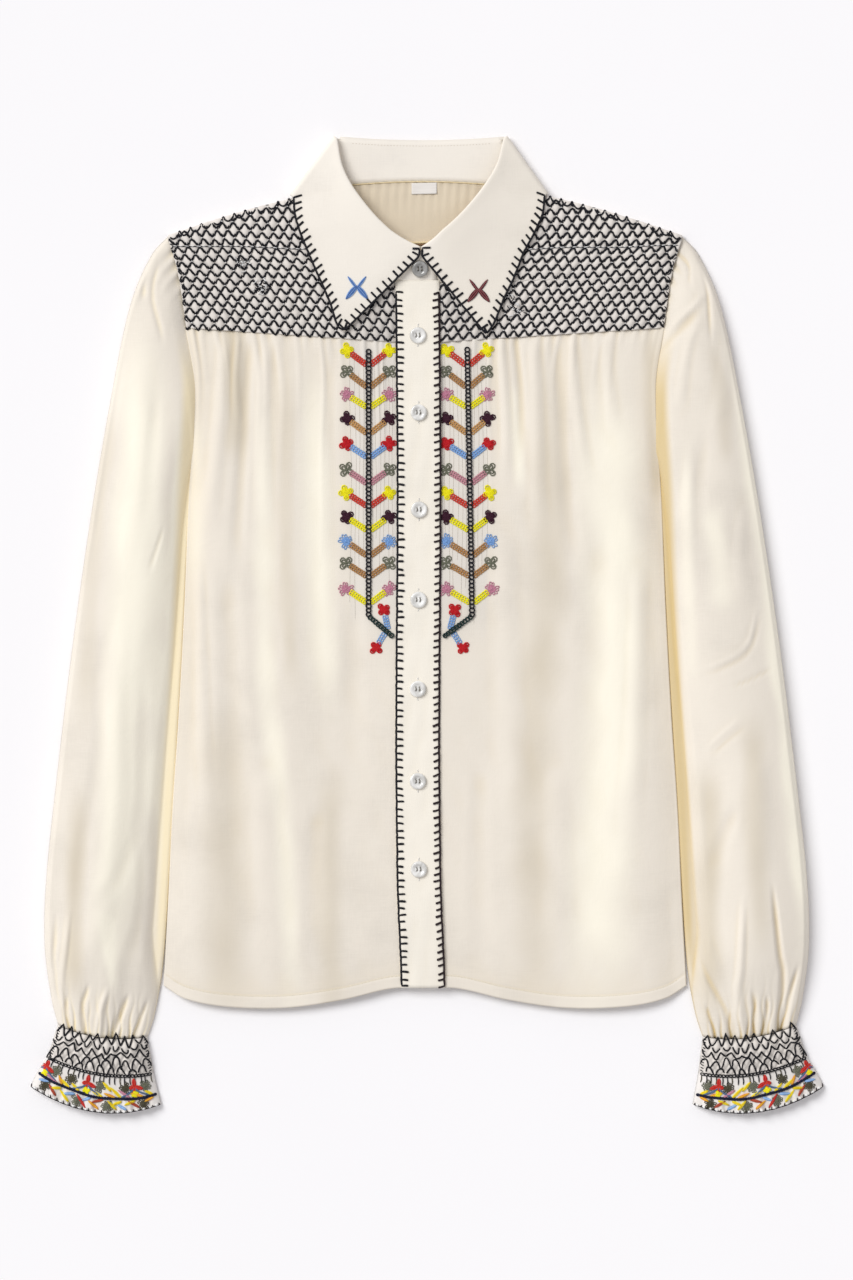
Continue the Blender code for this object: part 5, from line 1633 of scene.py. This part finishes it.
# Loops of one petal, for each kind of flower: open petals, a scribble of thin loops, or a solid
# little knot. Angle beyond the petal's own, share of its length, width in shares of the flower.
PETALS = {
    "open": rows_of("turn reach wide radius lift", (0, 1, 0.42, 0.46, 0.45), (0.1, 0.7, 0.22, 0.42, 0.6)),
    "scribble": rows_of(
        "turn reach wide radius lift",
        (-0.25, 0.95, 0.20, 0.34, 0.5),
        (0.2, 1.05, 0.20, 0.34, 0.5),
        (0, 0.6, 0.20, 0.34, 0.5),
    ),
    "knot": rows_of("turn reach wide radius lift", (0, 1, 0.40, 0.54, 0.45), (0, 0.75, 0.20, 0.48, 0.6)),
}


def flower(yarn, tree, middle, size, colour, style, turn=0.0):
    """A small flower of loops, with a few short stitches in its middle."""
    middle = np.array(middle, float)
    petals = 5 if style == "scribble" else 4
    start = turn + (math.pi / 4 if style == "open" else 0.3) + dice.uniform(-0.2, 0.2)
    for k in range(petals):
        angle = start + 2 * math.pi * k / petals + dice.uniform(-0.2, 0.2)
        reach = size / 2 * dice.uniform(0.9, 1.15)
        for loop in PETALS[style]:
            shape = (angle + loop.turn, reach * loop.reach, size * loop.wide, loop.radius)
            loop_petal(yarn, tree, middle, *shape, colour, loop.lift)
        if style == "knot":
            tip = middle + toward(angle) * reach * 0.7
            yarn.sew(tree, [middle, (middle + tip) / 2, tip], 0.7, 0.55, colour, sides=4)
    for _ in range(3 if style == "open" else 4):
        half = toward(dice.uniform(0, math.pi)) * size * 0.13
        yarn.sew(tree, [middle - half, middle, middle + half], 0.75, 0.45, colour, sides=4)


STYLES = {
    "yellow": "knot", "red": "knot", "plum": "knot", "pink": "scribble", "blue": "scribble", "olive": "open",
}


def tree_motif(yarn, tree, side):
    """A stitched tree: a chain stem, pairs of branches with a flower at each tip, a bent foot."""
    spot = TREES[side]
    stem = [(spot.top_x, spot.top_y), (spot.low_x, TREE_LOW_Y), spot.foot]
    mid = TREE_LOW_Y + 3
    stem_path = [stem[0], (spot.low_x + (spot.top_x - spot.low_x) * 0.5, (spot.top_y + mid) / 2), stem[1]]
    chain(yarn, tree, stem_path, width=3.7, link=3.1, radius=0.62, colour="black", lift=0.7)
    foot_x, foot_y = spot.foot
    foot = [stem[1], (stem[1][0] * 0.66 + foot_x * 0.34, TREE_LOW_Y - 5.2), (foot_x, foot_y)]
    chain(yarn, tree, foot, width=3.4, link=2.7, radius=0.62, colour="teal", lift=0.75)
    yarn.sew(tree, foot[1:], 0.95, 0.8, "teal")
    for level in TREE_ROWS:
        up = (level.fork_y - TREE_LOW_Y) / (spot.top_y - TREE_LOW_Y)
        stem_x = spot.low_x + (spot.top_x - spot.low_x) * up
        for flower_x in (spot.near_x, spot.far_x + spot.far_lean * up):
            sign = 1 if flower_x > stem_x else -1
            tip = np.array((flower_x, level.flower_y))
            fork = np.array((stem_x + sign * 1.6, level.fork_y + 0.6))
            start = tip + (fork - tip) * 0.24
            braid(yarn, tree, fork, start, width=3.7, radius=0.52, colour=level.branch)
            flower(yarn, tree, tip, 10.5, level.flower, STYLES[level.flower])
    for at, size in ((spot.upper_red, 10.0), (spot.lower_red, 9.5)):
        flower(yarn, tree, at, size, "red", "knot", 0.4)
    upper, lower = np.array(spot.upper_red), np.array(spot.lower_red)
    cross = np.array(((upper[0] * 0.55 + foot_x * 0.45), foot_y + 6.0))
    down = lower - cross
    for start, end in ((upper + (cross - upper) * 0.3, cross), (cross + down * 0.25, cross + down * 0.75)):
        braid(yarn, tree, start, end, width=3.8, radius=0.38, colour="blue")


# The second shade of a leaf's thread, for every other strand.
LIGHTER = {
    "azure": "denim", "blue": "sky", "burgundy": "wine", "yellow": "gold", "red": "scarlet", "orange": "gold",
}


def leaf_stitch(yarn, tree, start, end, width, colour, strands=5, lift=0.5):
    """Satin stitch: strands side by side that meet at both ends."""
    start, end = np.array(start, float), np.array(end, float)
    way = end - start
    across = left_of(way) / np.linalg.norm(way)
    for k in range(strands):
        offset = (k - (strands - 1) / 2) / strands * width
        path = []
        for t in np.linspace(0, 1, 6):
            path.append(start + way * t + across * offset * 1.1 * math.sin(math.pi * (0.12 + 0.84 * t)))
        shade = LIGHTER.get(colour, colour) if k % 2 else colour
        yarn.sew(tree, path, lift + 0.2 * (k % 2), 0.46, shade, taper=0.5)


def sprig(yarn, tree, middle, colour):
    """Two crossed sprigs on a collar leaf: thin above the crossing and full below it."""
    x, y = middle
    for sign in (-1, 1):
        low, high = (x + sign * 8.2, y - 8.8), (x + sign * 6.8, y + 8.0)
        leaf_stitch(yarn, tree, (x, y + 1), low, 3.8, colour, strands=5, lift=0.9)
        leaf_stitch(yarn, tree, (x, y - 1), high, 2.0, colour, strands=3, lift=0.9)


def stitch_line(yarn, tree, path, spacing, length, radius, colour, lift=0.2):
    """Small running stitches along a line."""
    points, heading = even_steps(path, spacing)
    for point, way in zip(points, heading):
        half = way * length / 2
        yarn.sew(tree, [point - half, point, point + half], lift, radius, colour, fewest=3, sides=4)


def stitch_cuff(yarn, side, tree):
    """A smocked wristband over a ruffle with a stitched border, all round what shows."""

    def spot(across, along):
        across = np.array(float(across))
        x, y, _ = sleeve_plan(side, CUFF_ROWS, np.array(max(along, 0.0)), across)
        low_x, low_y, _ = sleeve_plan(side, CUFF_ROWS, np.array(0.1), across)
        beyond = max(0.0, -along) / 0.1
        return float(x + (x - low_x) * beyond), float(y + (y - low_y) * beyond)

    def place(column, up):
        drift = 0.22 * math.sin(column * 1.3 + side) + 0.18 * math.sin(column * 0.5 + up * 2.1)
        share = column / CUFF_COLUMNS + 0.006 * math.sin(up * 2.3 + column)
        along = CUFF_SMOCK_END * (1 - (up + drift) / CUFF_ROWS_UP)
        return spot(share, along - 0.09 * max(0.0, up - CUFF_ROWS_UP + 0.6))

    def line(points, radius, colour, lift=0.45, count=9):
        yarn.sew(tree, ease_between([spot(*point) for point in points], count), lift, radius, colour)

    def leaf(start, end, width, colour, strands=4):
        leaf_stitch(yarn, tree, spot(*start), spot(*end), width, colour, strands)

    def arch(middle, half, low, high, power):
        lean, jump = dice.uniform(-0.12, 0.12), dice.uniform(-0.09, 0.09)
        path = []
        for t in np.linspace(-1, 1, 9):
            column = min(CUFF_COLUMNS - 0.15, max(0.15, middle + half * t + lean * (1 - t * t)))
            path.append(place(column, high + jump + (low - high) * abs(t) ** power))
        yarn.sew(tree, path, THREAD_LIFT, 0.68 * dice.uniform(0.9, 1.1), "black", taper=0.8)

    for column in range(1, CUFF_COLUMNS, 2):
        for row in CUFF_ARCHES:
            arch(column + row.shift, row.half, row.low, row.high, row.power)
        across = column / CUFF_COLUMNS
        line([(across - 0.004, -0.004), (across + 0.004, -0.004)], 0.5, "white", 0.9, 3)
    for edge in (0.012, 0.988):
        for k in range(12):
            along = 0.02 + 0.47 * k / 12
            reach = 0.03 if edge < 0.5 else -0.03
            line([(edge, along), (edge + reach, along + 0.016)], 0.42, "black", 0.3, 4)
    hem = [spot(t, CUFF_SMOCK_END) for t in np.linspace(0.02, 0.98, 30)]
    chain(yarn, tree, hem, width=2.0, link=2.6, radius=0.45, colour="black")
    for k in range(21):
        across = 0.03 + 0.94 * (k + dice.uniform(-0.2, 0.2)) / 20
        fringe = "black" if k % 3 else "moss"
        line([(across, 0.505), (across + 0.006, 0.56), (across + 0.001, 0.60)], 0.46, fringe, 0.4, 5)
    stem = [(t, STEM_ALONG + 0.006 * math.sin(t * 17 + side)) for t in np.linspace(0.015, 0.985, 12)]
    stem_path = ease_between([spot(*point) for point in stem], 40)
    chain(yarn, tree, stem_path, width=1.7, link=2.1, radius=0.42, colour="navy", lift=0.5)
    line(stem, 0.75, "navy", 0.55, 60)
    for across, along, colour in CUFF_FLOWERS:
        flower(yarn, tree, spot(across, along), 8.6, colour, "scribble", across * 9)
    for across in CUFF_STARS:
        for out, down in ((0.0, -0.085), (-0.075, 0.035), (0.045, 0.02), (0.01, 0.05)):
            leaf((across, 0.615), (across + out, 0.615 + down), 3.0, "red", 4)
        for sign in (-1, 1):
            stalk = [(across, 0.63), (across + sign * 0.045, 0.68), (across + sign * 0.12, 0.735)]
            line(stalk, 0.75, "steel", 0.5)
        flower(yarn, tree, spot(min(across, 0.95), 0.70), 5.0, "yellow", "knot")
    for start, end, colour in CUFF_LEAVES:
        reach = np.array(end) - np.array(start)
        leaf(np.array(start) - 0.1 * reach, np.array(end) + 0.15 * reach, 1.9, colour, 3)
    count = 20
    for k in range(count + 1):
        across = 0.01 + 0.98 * k / count
        line([(across, 0.998), (across + 0.009, 0.945)], 0.5, "umber", 0.35, 4)
        if k < count:
            line([(across + 0.016, 0.972), (across + 0.036, 0.974)], 0.95, "white", 0.3, 5)
    line([(t, 0.992) for t in np.linspace(0.01, 0.99, 12)], 0.42, "black", 0.15, 70)


# Threads of the yokes

body_tree = tree_of(*(cloth[key] for key in ("front_right", "front_left", "yoke_right", "yoke_left")))
smocking, dots = Yarn("smocking_yokes"), Yarn("smocking_highlights_and_white_threads")
for cloth_side, cloth_name in SIDES:
    yoke_tree = tree_of(cloth["yoke_" + cloth_name], cloth["front_" + cloth_name])
    smock_yoke(smocking, dots, cloth_side, yoke_tree)
smocking.build()
dots.build()

# Trees on the fronts

trees = Yarn("stitched_trees")
for motif_side in (-1, 1):
    tree_motif(trees, body_tree, motif_side)
trees.build()

# Painted shadow lines of the fine tucks in the cloth behind the trees

tucks = Yarn("fine_tuck_shadows")
for cloth_side in (-1, 1):
    for k in range(11):
        off = 19.5 + 3.15 * k + dice.uniform(-0.4, 0.4)
        heights = np.linspace(489 - dice.uniform(0, 14), 292 + dice.uniform(-8, 60), 64)
        path = [(float(placket_x(y)) + cloth_side * off + 0.5 * math.sin(y / 23 + k), y) for y in heights]
        tucks.sew(body_tree, path, -0.05, 0.24, "tuck", sides=4)
tucks.build()

# Edges of the placket and collar

edges = Yarn("blanket_stitch")
band_tree = tree_of(cloth["placket"])
for edge_side, colour, lean in ((-1, "black", 0.05), (1, "umber", 0.42)):
    heights = np.linspace(float(hem_y(0)) + 1.5, STAND_SEAM_Y - 7, 60)
    path = [(float(placket_x(y)) + edge_side * (PLACKET_WIDTH / 2 - 0.45), y) for y in heights]
    shape = {"spacing": 5.3, "length": 5.0, "lean": lean, "colour": colour, "curl": 0.6 * edge_side}
    blanket(edges, band_tree, path, edge_side, **shape)
collar_tree = tree_of(cloth["collar"])
for edge_side in (-1, 1):
    at = np.linspace(0.02, 1.0, 60)
    x, y, _ = leaf_rows(edge_side, at[:, None], np.array([[0.992]]))
    path = np.hstack([x, y])
    shape = {"spacing": 5.8, "length": 6.0, "lean": -0.35 * edge_side, "colour": "black", "lift": 0.7}
    blanket(edges, collar_tree, path, edge_side, **shape)
    share = np.linspace(-0.01, 0.99, 40)
    x, y, _ = leaf_rows(edge_side, np.array([[0.006]]), share[None, :])
    path = np.stack([x[0], y[0]], axis=1)
    shape = {"spacing": 5.6, "length": 5.8, "lean": 0.0, "colour": "black", "lift": 0.7}
    blanket(edges, collar_tree, path, edge_side, **shape)
edges.build()

# Cuffs

cuffs = Yarn("stitched_cuffs")
for cloth_side, cloth_name in SIDES:
    stitch_cuff(cuffs, cloth_side, tree_of(cloth["cuff_" + cloth_name], cloth["sleeve_" + cloth_name]))
cuffs.build()

# Sprigs on the collar

sprigs = Yarn("collar_sprigs")
sprig(sprigs, collar_tree, (-51.0, 537.7), "azure")
sprig(sprigs, collar_tree, (40.1, 535.5), "burgundy")
sprigs.build()

# Hem, collar and buttonhole stitching, and the thread in the buttons

seams = Yarn("seam_stitches")
for cloth_side in (-1, 1):
    path = [(cloth_side * x, float(hem_y(x)) + HEM_DEPTH) for x in np.linspace(17, 188, 60)]
    stitch_line(seams, body_tree, path, spacing=2.6, length=1.9, radius=0.16, colour="cream", lift=0.1)
path = [(NECK_MIDDLE_X + x, float(back_roll_y(x)) - 2.4) for x in np.linspace(-52, 50, 40)]
stand_tree = tree_of(cloth["collar_stand"])
stitch_line(seams, stand_tree, path, spacing=2.4, length=1.5, radius=0.26, colour="tan", lift=0.3)
# A gold line along the foot of the stand at the back, painted for the warm shade under the stand's edge.
path = [(NECK_MIDDLE_X + x, back_neck_y(x) + 0.3) for x in np.linspace(-56, 50, 60)]
seams.sew(tree_of(cloth["back"], cloth["collar_stand"]), path, 0.3, 0.5, "straw")
back_tree = tree_of(cloth["back"])
for y, radius, colour in ((570.2, 0.55, "bark"), (571.7, 0.9, "straw")):
    path = [(x, y + 0.3 * math.sin(x / 6)) for x in np.linspace(-24, 16, 40)]
    seams.sew(back_tree, path, 0.4, radius, colour)
for x, y, *_ in spots[1:]:
    for sign in (-1, 1):
        for k in range(4):
            left, high = x + dice.uniform(-0.25, 0.25) - 0.6, y + sign * (6.9 + k * 0.5)
            path = [(left, high), (left + 0.6, high), (left + 1.2, high + 0.1)]
            seams.sew(band_tree, path, 0.12, 0.22, "white", sides=4)
# The dark thread across the buttons' holes stands in partly for the shade in the holes.
for x, y, z, tilt in spots:
    for sign in (-1, 1):
        path = []
        for t in np.linspace(0, 1, 7):
            arched = math.sin(math.pi * t)
            height = BUTTON_HEIGHT - 0.55 + 0.30 * arched - 0.35 * (1 - arched)
            up, over = tilted(HOLE_OFFSET * (2 * t - 1), height, tilt)
            path.append((x + sign * HOLE_OFFSET, y + up, z + over))
        seams.strand(path, 0.36, "peat")
seams.build()

# Floor, light and camera

reach, depth = 8.0, -0.0003
corners = [(-reach, -reach, depth), (reach, -reach, depth), (reach, reach, depth), (-reach, reach, depth)]
floor_mesh = bpy.data.meshes.new("floor")
floor_mesh.from_pydata(corners, [], [(0, 1, 2, 3)])
floor_mesh.materials.append(floor_surface())
floor = bpy.data.objects.new("floor", floor_mesh)
bpy.context.scene.collection.objects.link(floor)

world = bpy.data.worlds.new("studio")
world.use_nodes = True
sky = world.node_tree.nodes["Background"].inputs
sky["Color"].default_value = (*WORLD_WHITE, 1)
sky["Strength"].default_value = WORLD_STRENGTH
bpy.context.scene.world = world
key_data = bpy.data.lights.new("key", "SUN")
key_data.energy = KEY_STRENGTH
key_data.angle = 0.55
key = bpy.data.objects.new("key", key_data)
key.rotation_euler = Vector(KEY_FROM).to_track_quat("Z", "Y").to_euler()
bpy.context.scene.collection.objects.link(key)

camera_data = bpy.data.cameras.new("camera")
camera_data.lens = 225
camera_data.sensor_width = 36
camera_data.clip_end = 100
camera = bpy.data.objects.new("camera", camera_data)
camera.location = CAMERA_PLACE
bpy.context.scene.collection.objects.link(camera)
bpy.context.scene.camera = camera
bpy.context.scene.view_settings.view_transform = "Standard"
